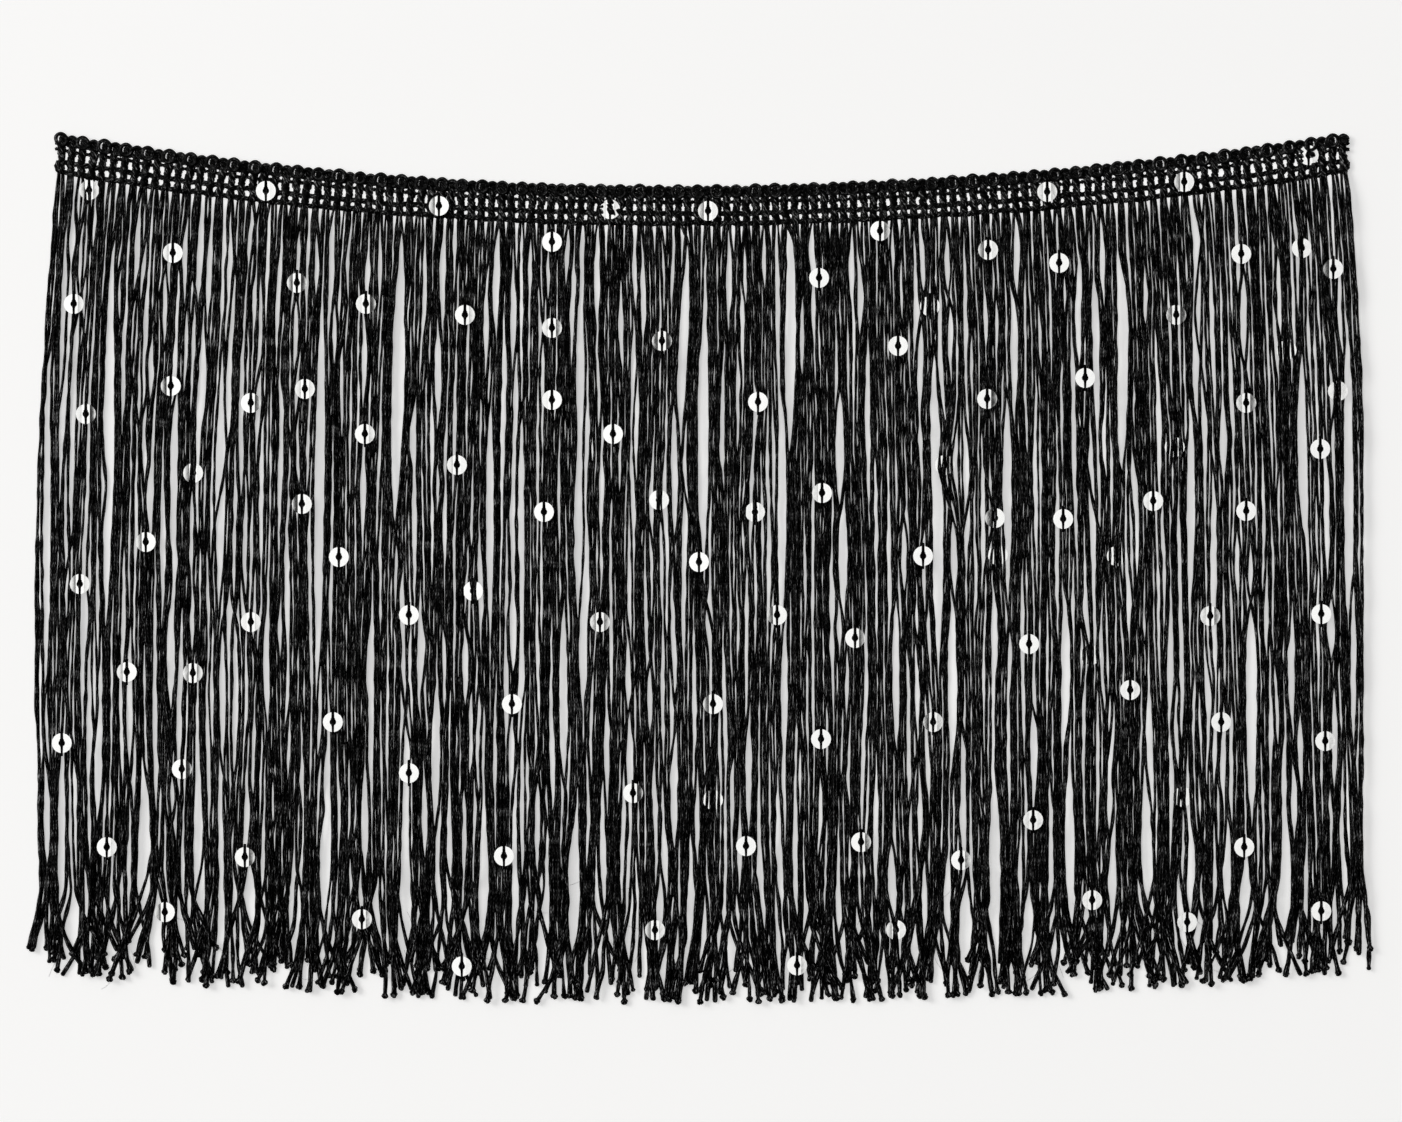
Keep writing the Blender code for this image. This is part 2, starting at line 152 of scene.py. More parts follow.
# Sequins. Depth counts the layers of strands above one, and -1 lifts it clear of the crossed
# ends. Left and right say how deep the dent in each side of it looks, from 0 to 9.
Sequin = namedtuple("Sequin", "x y depth left right")
SEQUINS = tuple(Sequin(*row) for row in (
    (266, 191, 0, 1, 2), (439, 206, 0, 6, 0), (1047, 192, 0, 3, 3), (1184, 182, 0, 6, 1),
    (173, 253, 0, 4, 1), (552, 242, 0, 0, 0), (880, 231, 0, 0, 6), (988, 250, 0, 7, 2),
    (1241, 254, 0, 0, 0), (74, 304, 0, 0, 3), (366, 304, 0, 2, 6), (465, 315, 0, 0, 3),
    (552, 328, 0, 4, 6), (819, 278, 0, 0, 0), (1059, 263, 0, 0, 0), (1176, 315, 0, 5, 6),
    (171, 386, 0, 7, 0), (305, 389, 0, 5, 4), (898, 346, 0, 1, 0), (1085, 378, 0, 0, 0),
    (86, 414, 0, 4, 8), (365, 434, 0, 0, 3), (552, 400, 0, 3, 0), (758, 402, 0, 0, 0),
    (987, 399, 0, 0, 7), (613, 434, 0, 0, 0), (457, 465, 0, 4, 1), (1320, 449, 0, 0, 0),
    (302, 504, 0, 9, 1), (544, 512, 0, 0, 0), (822, 493, 0, 4, 0), (1063, 519, 0, 0, 0),
    (1246, 511, 0, 0, 0), (146, 542, 0, 7, 0), (339, 557, 0, 0, 0), (699, 562, 0, 0, 0),
    (923, 556, 0, 0, 0), (251, 622, 0, 3, 4), (409, 615, 0, 0, 0), (600, 622, 0, 5, 5),
    (855, 638, 0, 0, 6), (1029, 644, 0, 0, 0), (1210, 616, 0, 3, 5), (127, 672, 0, 5, 0),
    (512, 704, 0, 0, 0), (333, 722, 0, 0, 0), (62, 743, 0, 0, 0), (821, 739, 0, 0, 0),
    (1221, 722, 0, 0, 0), (409, 773, 0, 0, 0), (633, 793, 0, 0, 9), (1033, 820, 0, 2, 1),
    (107, 847, 0, 0, 3), (504, 856, 0, 0, 0), (746, 846, 0, 0, 0), (1244, 847, 0, 0, 0),
    (89, 190, 1, 5, 4), (610, 209, 1.9, 3, 3), (708, 211, 0, 6, 2), (1309, 155, 1.9, 2, 3),
    (297, 283, 0, 7, 8), (251, 403, 0, 0, 7), (662, 341, 0, 7, 8), (930, 306, 2, 0, 0),
    (1302, 248, 1.4, 0, 0), (1333, 269, 0, 8, 0), (1287, 350, 2, 0, 0), (1338, 391, 1, 3, 3),
    (1246, 403, 0, 4, 6), (193, 473, 1, 6, 2), (80, 584, 0, 7, 4), (193, 673, 0, 6, 5),
    (659, 500, 1.5, 0, 1), (473, 591, 1.5, 0, 0), (755, 512, 1.5, 3, 3), (945, 465, 2, 0, 4),
    (995, 518, 1, 7, 0), (998, 555, 2, 0, 0), (777, 615, 0, 6, 0), (1153, 501, 0, 4, 2),
    (1117, 556, 2, 0, 0), (1321, 614, 0, 0, 0), (1175, 447, 2, 0, 0), (1091, 655, 2, 0, 0),
    (182, 769, 0, 0, 9), (245, 857, 0, 0, 6), (165, 912, 0, 6, 0), (362, 919, 0, 2, 4),
    (462, 966, -1, 0, 2), (655, 930, 0, 6, 3), (713, 704, 0, 7, 0), (713, 800, 2, 0, 0),
    (797, 965, -1, 0, 3), (861, 842, 0, 0, 7), (896, 930, 1, 5, 2), (933, 722, 0, 6, 2),
    (961, 860, 0, 0, 6), (1130, 690, 0, 1, 2), (1092, 900, 0, 2, 2), (1183, 797, 2, 0, 0),
    (1187, 922, 0, 1, 0), (1325, 741, 0, 0, 2), (1321, 911, 0, 0, 1),
))


def hex_colour(code):
    """Linear colour of an sRGB hex code, with full alpha.

    A dark channel is divided by 12.92. A lighter one is raised by 0.055, divided by 1.055
    and taken to the power 2.4.
    """
    channels = np.array([int(code[i:i + 2], 16) for i in (0, 2, 4)]) / 255
    light = ((channels + 0.055) / 1.055) ** 2.4
    return (*np.where(channels <= 0.04045, channels / 12.92, light).tolist(), 1.0)


def length(name, description, millimetres):
    """A length setting with its default in millimetres."""
    return FloatProperty(
        name=name, description=description, default=millimetres * MM, unit="LENGTH", precision=5
    )


def number(name, description, value, unit="NONE"):
    """A plain number setting."""
    return FloatProperty(name=name, description=description, default=value, unit=unit)


def group(kind, name, description):
    """A group of settings inside another."""
    return PointerProperty(type=kind, name=name, description=description)


def share(name, description, value):
    """A share setting from 0 to 1."""
    return FloatProperty(
        name=name, description=description, default=value, min=0, max=1, subtype="FACTOR"
    )


def colour(name, description, code):
    """A colour setting with its default as an sRGB hex code."""
    return FloatVectorProperty(
        name=name, description=description, default=hex_colour(code), size=4, subtype="COLOR"
    )


class HeadingSettings(bpy.types.PropertyGroup):
    left: length("Left end", "X of the tape's left cut end", -193.0)
    right: length("Right end", "X of the tape's right cut end", 195.0)
    top: length("Top", "Y of the top edge at both ends", 131.1)
    low_point: length("Low point", "X where the top edge is lowest", -8.7)
    rise: length("Rise", "Height of both ends above the low point", 16.0)
    wales: IntProperty(name="Wales", description="Twisted columns in the tape", default=126)
    crowding: share("Crowding", "How much closer the wales stand in the middle", 0.06)
    wale_top: length("Wale top", "Depth at which the wales start", 2.4)
    wale_bottom: length("Wale bottom", "Depth at which the wales end", 11.5)
    wale_ply: length("Wale ply", "Radius of each of a wale's two plies", 0.88)
    wale_twist: length("Wale twist", "Length of one turn of a wale's plies", 3.0)
    thin_cord: length("Thin cord", "Depth of the thin cord across the wales", 4.6)
    thin_ply: length("Thin cord ply", "Radius of the thin cord's plies", 0.4)
    middle_cord: length("Middle cord", "Depth of the middle cord", 8.05)
    bottom_cord: length("Bottom cord", "Depth of the cord that holds the strands", 11.05)
    cord_ply: length("Cord ply", "Radius of the plies of the two thick cords", 0.5)
    cord_twist: length("Cord twist", "Length of one turn of a cord's plies", 3.2)
    flatness: share("Flatness", "Height of the twisted yarns for their width", 0.5)
    swelling: share("Swelling", "How much wales thicken where cords cross them", 0.22)
    neck_cord: length("Neck cord", "Depth of the cord under the loops", 2.95)
    neck_ply: length("Neck cord ply", "Radius of the neck cord's plies", 0.36)
    uneven: length("Unevenness", "How far stitches lie off their lines", 0.16)
    loop_depth: length("Loop depth", "Depth of the middle of the loops", 1.6)
    loop_radius: length("Loop radius", "Radius of a loop's middle line", 1.5)
    loop_yarn: length("Loop yarn", "Radius of the yarn in a loop", 0.6)
    level: length("Level", "Height of the tape's middle", 1.04)
    weave: length("Weave", "How far the cords pass before and behind the wales", 0.2)


class StrandSettings(bpy.types.PropertyGroup):
    seed: IntProperty(name="Seed", description="Changes every random place", default=2)
    left_out: share("Left out", "Share of the strands left out at random", 0.04)
    length: length("Length", "Longest strand in the middle", 235.5)
    side_length: length("Side length", "How much longer the strands at both ends are", 6.0)
    side_cut: length("Side cut", "How much shorter the outermost strands are", 6.5)
    ragged: length("Ragged", "How much shorter the shortest strands are", 11.0)
    width: length("Width", "Width of a strand across its flat", 0.98)
    thickness: length("Thickness", "Thickness of a strand", 0.66)
    lumps: share("Lumps", "Unevenness of a strand's width", 0.13)
    turn: length("Turn", "Length in which a strand turns over once", 23.0)
    root_gap: length("Root spacing", "Spacing of strands at one wale's foot", 0.38)
    loosen: length("Loosen", "Drop over which a wale's strands spread out", 4.5)
    fan: length("Fan", "Sideways reach of the strands for a slope of one", 38.0)
    fan_drop: length("Fan drop", "Drop over which the strands turn upright", 78.0)
    wander: length("Wander", "How far a strand strays from its line", 0.9)
    kinks: length("Kinks", "How far the chain's small kinks lie off a strand's line", 0.06)
    slits: IntProperty(name="Slits", description="Small partings at random places", default=150)
    slit_length: length("Slit length", "Length of the longest small parting", 48.0)
    slit_width: length("Slit width", "Width of the widest small parting", 1.0)
    wild: share("Wild strands", "Share of the strands that stray across the others", 0.05)
    clump: length("Clump", "Width of the widest clump at the hem", 16.0)
    waist: length("Waist", "Height of a clump's narrowest place above its tips", 25.0)
    gather: share("Gather", "How much narrower a clump is at its waist", 0.1)
    crossed: share("Crossed", "Share of the ends that cross their clump's middle", 0.35)
    splay: length("Splay", "How far single ends stray from their places", 2.0)
    bottom_level: length("Bottom level", "Height of the lowest layer's middle", 0.62)
    layer_step: length("Layer step", "Height from one layer to the next", 0.62)
    side_room: length("Side room", "How far in the outer strands hang above the hem", 3.3)
    tuft: length("Tuft", "Length of the frayed cut end", 2.0)


class SequinSettings(bpy.types.PropertyGroup):
    diameter: length("Diameter", "Diameter of a sequin", 6.0)
    hole: length("Hole", "Diameter of its middle hole", 2.0)
    thickness: length("Thickness", "Thickness of the foil", 0.14)
    cup: length("Cup", "How far the rim bends down", 0.02)
    dent: length("Dent", "Height of the step at the deepest dent", 0.39)
    tilt: number("Tilt", "Spread of the tilts", np.radians(1.1), "ROTATION")
    thread: length("Thread", "Width of the thread over a sequin's face", 0.86)
    lift: length("Lift", "Height of a sequin above the strands it lies on", 0.42)


class FinishSettings(bpy.types.PropertyGroup):
    yarn: colour("Yarn", "Black rayon yarn", "010101")
    # The lighter tone of the painted highlight on the yarn, along streaks and stitch crests.
    painted_sheen_colour: colour("Worn yarn", "The yarn where its fibres stand up", "A0A0A0")
    foil: colour("Foil", "Silver foil of the sequins", "F4F4F2")


class StageSettings(bpy.types.PropertyGroup):
    floor: colour("Floor", "Pale floor", "F0EFED")
    camera_height: length("Camera height", "Height of the camera", 1200.0)
    key_power: number("Key light", "Power of the soft key light", 105, "POWER")
    key_size: length("Key size", "Width of the soft key light", 2400.0)
    fill: number("Fill light", "Strength of the light from all round", 1.0)
    glow: number("Floor glow", "Light that comes up through the floor", 0.42)
    # Strength of the painted pool of light in the floor strip under the tape.
    tape_glow: number("Tape glow", "More of that light behind the tape", 0.34)


class FringeSettings(bpy.types.PropertyGroup):
    heading: group(HeadingSettings, "Heading", "Sizes of the crocheted tape")
    strands: group(StrandSettings, "Strands", "Sizes and lie of the strands")
    sequins: group(SequinSettings, "Sequins", "Sizes of the sequins and their threads")
    finish: group(FinishSettings, "Finish", "Colours of the yarn and the foil")
    stage: group(StageSettings, "Stage", "Floor, lights and camera")


def across(x):
    """X of a place on the layout sheet."""
    return (x - SHEET_MIDDLE_X) * STEP


def along(y):
    """Y of a place on the layout sheet, whose own y runs down."""
    return (SHEET_MIDDLE_Y - y) * STEP


def unit(vectors):
    """Vectors along the last axis, divided by their lengths."""
    return vectors / np.linalg.norm(vectors, axis=-1, keepdims=True)


def course(paths):
    """Each path's direction, the level direction square to it, and the way run along it."""
    forward = unit(np.gradient(paths, axis=1))
    side = unit(np.cross(forward, UP))
    steps = np.linalg.norm(np.diff(paths, axis=1), axis=-1)
    run = np.concatenate((np.zeros((len(paths), 1)), np.cumsum(steps, axis=1)), axis=1)
    return forward, side, run


def quads(grid):
    """The values at the four corners of every cell of a grid, or of many grids at once.

    On a grid of point numbers these are its quads.
    """
    lower, upper = grid[..., :-1, :], grid[..., 1:, :]
    return np.stack((lower[..., :-1], upper[..., :-1], upper[..., 1:], lower[..., 1:]), axis=-1)


def even_noise(draw, shape, passes):
    """Random rows, evened out along the last axis and scaled to a spread of one.

    Each pass takes half of a number and a quarter of each neighbour.
    """
    noise = draw.standard_normal(shape)
    for _ in range(passes):
        padded = np.pad(noise, ((0, 0), (1, 1)), mode="edge")
        noise = (padded[:, :-2] + 2 * noise + padded[:, 2:]) / 4
    return noise / noise.std()


def new_mesh(name, points, polygons, corners=None):
    """A mesh from points and groups of equal-sided polygons.

    corners holds a u and v for every polygon corner, in the same groups.
    """
    mesh = bpy.data.meshes.new(name)
    sizes = np.concatenate([np.full(len(group), group.shape[1]) for group in polygons])
    loops = np.concatenate([group.ravel() for group in polygons])
    mesh.vertices.add(len(points))
    mesh.vertices.foreach_set("co", points.astype(np.float32).ravel())
    mesh.loops.add(len(loops))
    mesh.loops.foreach_set("vertex_index", loops.astype(np.int32))
    mesh.polygons.add(len(sizes))
    mesh.polygons.foreach_set("loop_start", (np.cumsum(sizes) - sizes).astype(np.int32))
    mesh.update(calc_edges=True)
    if corners is not None:
        flat = np.concatenate([group.reshape(-1, 2) for group in corners])
        uv_map = mesh.uv_layers.new(name="surface")
        uv_map.uv.foreach_set("vector", flat.astype(np.float32).ravel())
    mesh.shade_smooth()
    return mesh


def tube_mesh(name, paths, wide, high, sides, turn=0.0):
    """Closed tubes along many paths, joined in one mesh.

    paths holds a point for each tube and ring. Round it lies an ellipse, at angle a the
    point plus wide * cos a * side plus high * sin a * rise. Side lies level and square to
    the path, and rise is square to both. The ellipse is turned about the path by turn. The
    map surface holds the tube's number plus a share of a turn in u, and the way along the
    tube in metres in v.
    """
    tubes, rings = paths.shape[:2]
    forward, side, run = course(paths)
    rise = np.cross(side, forward)
    angle = 2 * np.pi * np.arange(sides) / sides
    turn = np.broadcast_to(turn, (tubes, rings))[..., None]
    over = np.broadcast_to(wide, (tubes, rings))[..., None] * np.cos(angle)
    out = np.broadcast_to(high, (tubes, rings))[..., None] * np.sin(angle)
    level = over * np.cos(turn) - out * np.sin(turn)
    upward = over * np.sin(turn) + out * np.cos(turn)
    points = paths[:, :, None] + level[..., None] * side[:, :, None]
    points = points + upward[..., None] * rise[:, :, None]

    index = np.arange(tubes * rings * sides).reshape(tubes, rings, sides)
    walls = quads(np.pad(index, ((0, 0), (0, 0), (0, 1)), mode="wrap"))
    ends = np.concatenate((index[:, 0], index[:, -1, ::-1]))
    u = np.arange(tubes)[:, None, None] + np.arange(sides + 1) / sides
    u, v = np.broadcast_arrays(u, run[..., None])
    corners = np.stack((quads(u), quads(v)), axis=-1)
    end_corners = np.zeros(ends.shape + (2,))
    return new_mesh(
        name, points.reshape(-1, 3), (walls.reshape(-1, 4), ends), (corners, end_corners)
    )


def add_object(data):
    """An object in the scene for a mesh, a light or the camera, with its name."""
    item = bpy.data.objects.new(data.name, data)
    bpy.context.scene.collection.objects.link(item)
    return item


def place_piece(mesh, material, nodes):
    """Put a finished mesh in the scene on the piece's body, in place of CAD nodes."""
    mesh.materials.append(material)
    piece = add_object(mesh)
    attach(piece, BODY)
    if nodes:
        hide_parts(*nodes)
    return piece


def edge_span(heading, x):
    """Distance from the low point to the tape's end on the side where x lies."""
    left = heading.low_point - heading.left
    return np.where(x < heading.low_point, left, heading.right - heading.low_point)


def edge_height(heading, x):
    """Y of the top edge at x: a parabola on each side of the low point."""
    out = (x - heading.low_point) / edge_span(heading, x)
    return heading.top - heading.rise * (1 - out ** 2)


def edge_slope(heading, x):
    """Slope of the top edge at x."""
    return 2 * heading.rise * (x - heading.low_point) / edge_span(heading, x) ** 2


def tape_point(heading, x, depth):
    """The place at a depth below the top edge, down the wale that starts at x.

    Wales stand square to the curved edge, and upright at the two cut ends.
    """
    out = np.abs(x - heading.low_point) / edge_span(heading, x)
    lean = edge_slope(heading, x) * (1 - np.minimum(out, 1) ** 12)
    return x + lean * depth, edge_height(heading, x) - depth


def wale_middles(heading):
    """X along the top edge of the middle of each wale, and their mean spacing.

    The spacing is the mean times 1 + crowding * cos(2 pi u), at the share u of the length.
    """
    u = (np.arange(heading.wales) + 0.5) / heading.wales
    run = heading.right - heading.left
    warped = u + heading.crowding * np.sin(2 * np.pi * u) / (2 * np.pi)
    return heading.left + run * warped, run / heading.wales


def wale_phase(heading, x):
    """Half a turn for each wale passed at x."""
    middles, _ = wale_middles(heading)
    return np.pi * np.interp(x, middles, np.arange(heading.wales) + 0.5)


def twisted(middle, radius, pitch, plies, flatness):
    """Plies that wind round a path: its points plus a turning arm.

    The arm is radius * cos a across the path plus flatness * radius * sin a up, where a grows
    by a full turn in each pitch along the path. The plies share out one turn evenly.
    """
    _, side, run = course(middle)
    wound = []
    for ply in range(plies):
        angle = 2 * np.pi * (run / pitch + ply / plies)
        arm = radius * (np.cos(angle)[..., None] * side + flatness * np.sin(angle)[..., None] * UP)
        wound.append(middle + arm)
    return np.concatenate(wound)


def wale_paths(heading, draw):
    """Middle lines of the wales, from under the loops to the bottom cord."""
    starts, _ = wale_middles(heading)
    depth = np.linspace(heading.wale_top, heading.wale_bottom, 18)
    x, y = tape_point(heading, starts[:, None], depth[None])
    x = x + heading.uneven * even_noise(draw, x.shape, 3)
    return np.stack((x, y, np.full(x.shape, heading.level)), axis=-1)


def cord_path(heading, near, far, count, draw):
    """Middle line of a cord that runs along the tape at one depth and back at another.

    It is a long ring: two runs at the depths near and far, joined at both ends by half
    circles of the radius bend. It passes before and behind the wales by turns.
    """
    bend = (far - near) / 2
    inset = 1.1 * bend
    run = heading.right - heading.left - 2 * inset
    turn = np.pi * bend
    s = np.linspace(0, 2 * (run + turn), count, endpoint=False)
    left = heading.left + inset
    first = s < run
    second = (s >= run + turn) & (s < 2 * run + turn)
    right_end = (s >= run) & (s < run + turn)
    angle = np.where(right_end, (s - run) / bend, (s - 2 * run - turn) / bend)
    right_x = left + run + bend * np.sin(angle)
    left_x = left - bend * np.sin(angle)
    back_x = left + 2 * run + turn - s
    x = np.select([first, right_end, second], [left + s, right_x, back_x], left_x)
    arc = (near + far) / 2 + bend * np.where(right_end, -np.cos(angle), np.cos(angle))
    depth = np.select([first, second], [near, far], arc)
    side = np.where(second, -1, 1)
    z = heading.level + heading.weave * np.sin(wale_phase(heading, x)) * side
    px, py = tape_point(heading, x, depth)
    py = py + heading.uneven * even_noise(draw, (1, count), 20)[0]
    return np.stack((px, py, z), axis=-1)[None]


def straight_cord(heading, depth, count, draw):
    """Middle line of a cord along the tape at one depth, before and behind the wales."""
    x = np.linspace(heading.left - 0.3 * MM, heading.right + 0.3 * MM, count)
    z = heading.level + heading.weave * np.cos(wale_phase(heading, x))
    px, py = tape_point(heading, x, depth)
    py = py + heading.uneven * even_noise(draw, (1, count), 8)[0]
    return np.stack((px, py, z), axis=-1)[None]


def join_meshes(name, meshes):
    """One mesh from several, with their maps kept."""
    parts = [add_object(mesh) for mesh in meshes]
    with bpy.context.temp_override(
        active_object=parts[0], selected_editable_objects=parts, selected_objects=parts
    ):
        bpy.ops.object.join()
    joined = parts[0].data
    bpy.data.objects.remove(parts[0])
    joined.name = name
    return joined


def spread_apart(places, spacing):
    """Move ordered places as little as needed to keep them a spacing apart.

    The mean of two running limits: each place pushed right by those on its left, and
    pushed left by those on its right.
    """
    offsets = spacing * np.arange(places.shape[0])[:, None]
    pushed_right = np.maximum.accumulate(places - offsets, axis=0) + offsets
    pushed_left = np.minimum.accumulate((places - offsets)[::-1], axis=0)[::-1] + offsets
    return (pushed_right + pushed_left) / 2


class StrandLayout:
    """Where every strand runs. Rows are strands from left to right, columns are rings."""

    RINGS = 158
    WAVES = ((230 * MM, 1.0), (104 * MM, 0.5), (52 * MM, 0.14))    # length and size
    OUTERMOST = [0, 1, 2, 3, 4, -2, -1]    # rows of the strands at both edges
    SIDE_MARGIN = 50                       # steps of the layout sheet without small partings
    SLIT_ROWS = (205, 905)                 # rows of the sheet where small partings start
    SLIT_LEAN = 5                          # spread of their lean, in steps
    OPENING = 0.73                         # how wide a parting opens, for its width as seen
    FIRST_PUSH = 0.65                      # firmness of the first push
    SPACING = 0.92                         # least distance of strands, for their width
    HEM_ROW = 900                          # partings that end below this row bound clumps
    LEG_REACH = 10 * MM                    # how far an end strays sideways at most
    ROOT_LEVEL = 0.62 * MM                 # height of the lowest layer's roots in the tape
    ROOT_STEP = 0.28 * MM                  # height from one layer's roots to the next
    FLOOR_ROOM = 0.53 * MM                 # least height of a strand's middle line
    TIP_ROOM = 0.16 * MM                   # more of it at the tips

    def __init__(self, settings):
        heading = settings.heading
        strands = settings.strands
        draw = np.random.default_rng(strands.seed)
        middles, pitch = wale_middles(heading)
        layers = draw.permuted(np.tile(np.arange(LAYERS), (heading.wales, 1)), axis=1)
        kept = draw.random(layers.size) >= strands.left_out
        kept[[0, -1]] = True
        self.settings = strands
        self.clearance = (settings.sequins.diameter + strands.width) / 2
        self.layer = layers.ravel()[kept]
        self.middle = np.repeat(middles, LAYERS)[kept]
        self.place = np.tile(np.arange(LAYERS) - (LAYERS - 1) / 2, heading.wales)[kept]
        self.pitch = pitch
        self.count = len(self.layer)
        self.slope = edge_slope(heading, self.middle)
        self.root_x, self.root_y = tape_point(heading, self.middle, heading.bottom_cord)
        self.phases = draw.uniform(0, 2 * np.pi, (len(self.WAVES), self.count, 1))
        self.wild = draw.random(self.count) < strands.wild
        self.wild[[0, -1]] = False
        shortened = strands.ragged * draw.random(self.count) ** 1.6
        shortened[self.OUTERMOST] = strands.side_cut
        out = (self.middle - heading.low_point) / edge_span(heading, self.middle)
        longest = strands.length + strands.side_length * out ** 2 - strands.tuft
        room = self.root_y - cad_low.y - strands.tuft * 0.9
        self.reach = np.minimum(longest, room) - shortened
        self.draw = draw
        self.partings = [*PARTINGS, *self.slits()]

    def slits(self):
        """Small partings at random places, more of them low down, as rows like the table's."""
        strands = self.settings
        shape = strands.slits
        x = self.draw.uniform(self.SIDE_MARGIN, SHEET_WIDTH - self.SIDE_MARGIN, shape)
        first, last = self.SLIT_ROWS
        top = self.draw.triangular(first, last, last, shape)
        run = strands.slit_length / STEP * self.draw.uniform(0.3, 1.0, shape)
        width = strands.slit_width / STEP * self.draw.uniform(0.5, 1.0, shape)
        lean = self.SLIT_LEAN * self.draw.standard_normal(shape)
        return [Parting(*row) for row in zip(x, lean, top, top + run, width)]

    def natural_x(self, drop):
        """X of each strand at a drop below its root, if nothing parts it.

        Its place under the wale widens with 1 - exp(-drop / loosen). It fans out by
        slope * fan * (1 - exp(-drop / fan_drop)) and strays by a sum of sine waves. They grow
        over the first 40 mm and again below half of the length, and are 3.2 times as large
        on the wild strands.
        """
        strands = self.settings
        loose = 1 - np.exp(-drop / strands.loosen)
        own = strands.root_gap + (self.pitch / LAYERS - strands.root_gap) * loose
        x = self.root_x[:, None] + self.place[:, None] * own
        x = x + self.slope[:, None] * strands.fan * (1 - np.exp(-drop / strands.fan_drop))
        grown = np.clip(drop / (40 * MM), 0, 1) + 0.6 * np.clip(drop / strands.length - 0.5, 0, 1)
        grown = grown * np.where(self.wild, 3.2, 1)[:, None]
        for phase, (wave, size) in zip(self.phases, self.WAVES):
            x = x + strands.wander * size * grown * np.sin(2 * np.pi * drop / wave + phase)
        return x

    def paths(self):
        """Points of every strand from root to tip.

        The chain's small kinks add an evened-out noise to x, times 1 - exp(-drop / 8 mm).
        """
        drop = self.reach[:, None] * np.linspace(0, 1, self.RINGS)
        y = self.root_y[:, None] - drop
        x, tail = self.hem_x(self.parted_x(drop, y), drop)
        loose = 1 - np.exp(-drop / (8 * MM))
        x = x + self.settings.kinks * loose * even_noise(self.draw, x.shape, 3)
        return np.stack((x, y, self.heights(drop, tail)), axis=-1)

    def parted_x(self, drop, y):
        """X of each strand above the hem.

        The partings push once loosely and once in full. In between, a strand is drawn
        behind each sequin, and the strands of two layers at a time are kept apart. Those
        over a sequin are laid across it. Ten passes then even every strand out, each of
        them by half of a point and a quarter of both its neighbours.
        """
        strands = self.settings
        x = self.natural_x(drop)
        for parting in self.partings:
            x = x + self.push(parting, x, y, self.FIRST_PUSH)
        for sequin in SEQUINS:
            x = self.draw_to(sequin, x, y)
        for pair in (0, 1):
            rows = (self.layer % 2 == pair) & ~self.wild
            x[rows] = spread_apart(x[rows], strands.width * self.SPACING)
        for parting in self.partings:
            x = x + self.push(parting, x, y, 1.0)
        for sequin in SEQUINS:
            x = self.lay_over(sequin, x, y)
        for _ in range(10):
            x[:, 1:-1] = (x[:, :-2] + 2 * x[:, 1:-1] + x[:, 2:]) / 4
        side = cad_high.x - strands.side_room
        return np.clip(x, -side, side)

    def hem_x(self, x, drop):
        """X with every clump gathered to its waist, and the share of its tail at each point.

        Clumps grow narrower by gather * off * g^2 (3 - 2 g), where off is the distance from
        the clump's middle and g grows from 0 to 1 towards the waist. Below the waist each
        end goes its own way, by its leg times tail^1.3. The two outermost ends reach the
        sides of the piece.
        """
        strands = self.settings
        left_over = self.reach[:, None] - drop
        waist = strands.waist * self.draw.uniform(0.7, 1.4, (self.count, 1))
        tail = np.clip(1 - left_over / waist, 0, 1)
        gathered = np.clip(1.6 - left_over / (2.2 * strands.waist), 0, 1)
        off = x - self.clump_middles(x, left_over)
        x = x - strands.gather * off * gathered ** 2 * (3 - 2 * gathered)
        x = x + self.legs(off[:, -1:]) * tail ** 1.3
        x = x + 0.42 * MM * tail * even_noise(self.draw, x.shape, 14)
        edge = cad_high.x - EDGE_ROOM
        x[0] += (-edge - x[0, -1]) * tail[0] ** 2
        x[-1] += (edge - x[-1, -1]) * tail[-1] ** 2
        return np.clip(x, -edge, edge), tail

    def heights(self, drop, tail):
        """Z of each strand.

        It goes from its root's height to its layer's by 1 - exp(-drop / 3 mm), and sinks
        towards the lowest layer by 0.35 tail^2 of the way.
        """
        strands = self.settings
        layer = self.layer[:, None]
        level = strands.bottom_level + strands.layer_step * layer
        root_level = self.ROOT_LEVEL + self.ROOT_STEP * layer
        settled = 1 - np.exp(-drop / (3 * MM))
        z = root_level + (level - root_level) * settled
        z = z + 0.05 * MM * even_noise(self.draw, drop.shape, 12)
        z = z - (z - strands.bottom_level) * 0.35 * tail ** 2
        return np.maximum(z, self.FLOOR_ROOM + self.TIP_ROOM * tail)

    def clump_middles(self, x, left_over):
        """The middle of each strand's clump, as a column.

        Clumps lie between the lowest partings of the layout table, and one that would be
        too wide is halved.
        """
        strands = self.settings
        low = [across(parting.x) for parting in PARTINGS if parting.bottom > self.HEM_ROW]
        bounds = np.sort(low)
        wide = np.flatnonzero(np.diff(bounds) > strands.clump)
        halves = (bounds[wide] + bounds[wide + 1]) / 2
        ring = np.argmin(np.abs(left_over[0] - strands.waist))
        clump = np.searchsorted(np.sort(np.concatenate((bounds, halves))), x[:, ring])
        middles = np.bincount(clump, x[:, ring]) / np.maximum(np.bincount(clump), 1)
        return middles[clump][:, None]

    def legs(self, off):
        """How far each end moves out below the waist, for its place off the clump's middle.

        Most ends spread to 1.5 times that place, and the crossed ones go as far to the
        other side. All stray from there by splay times a number drawn from Student's t.
        """
        strands = self.settings
        crosses = self.draw.random(off.shape) < strands.crossed
        stray = strands.splay * np.clip(self.draw.standard_t(3, off.shape), -3, 3)
        end = off * np.where(crosses, -1.0, 1.5) + stray
        return np.clip(end - (1 - strands.gather) * off, -self.LEG_REACH, self.LEG_REACH)

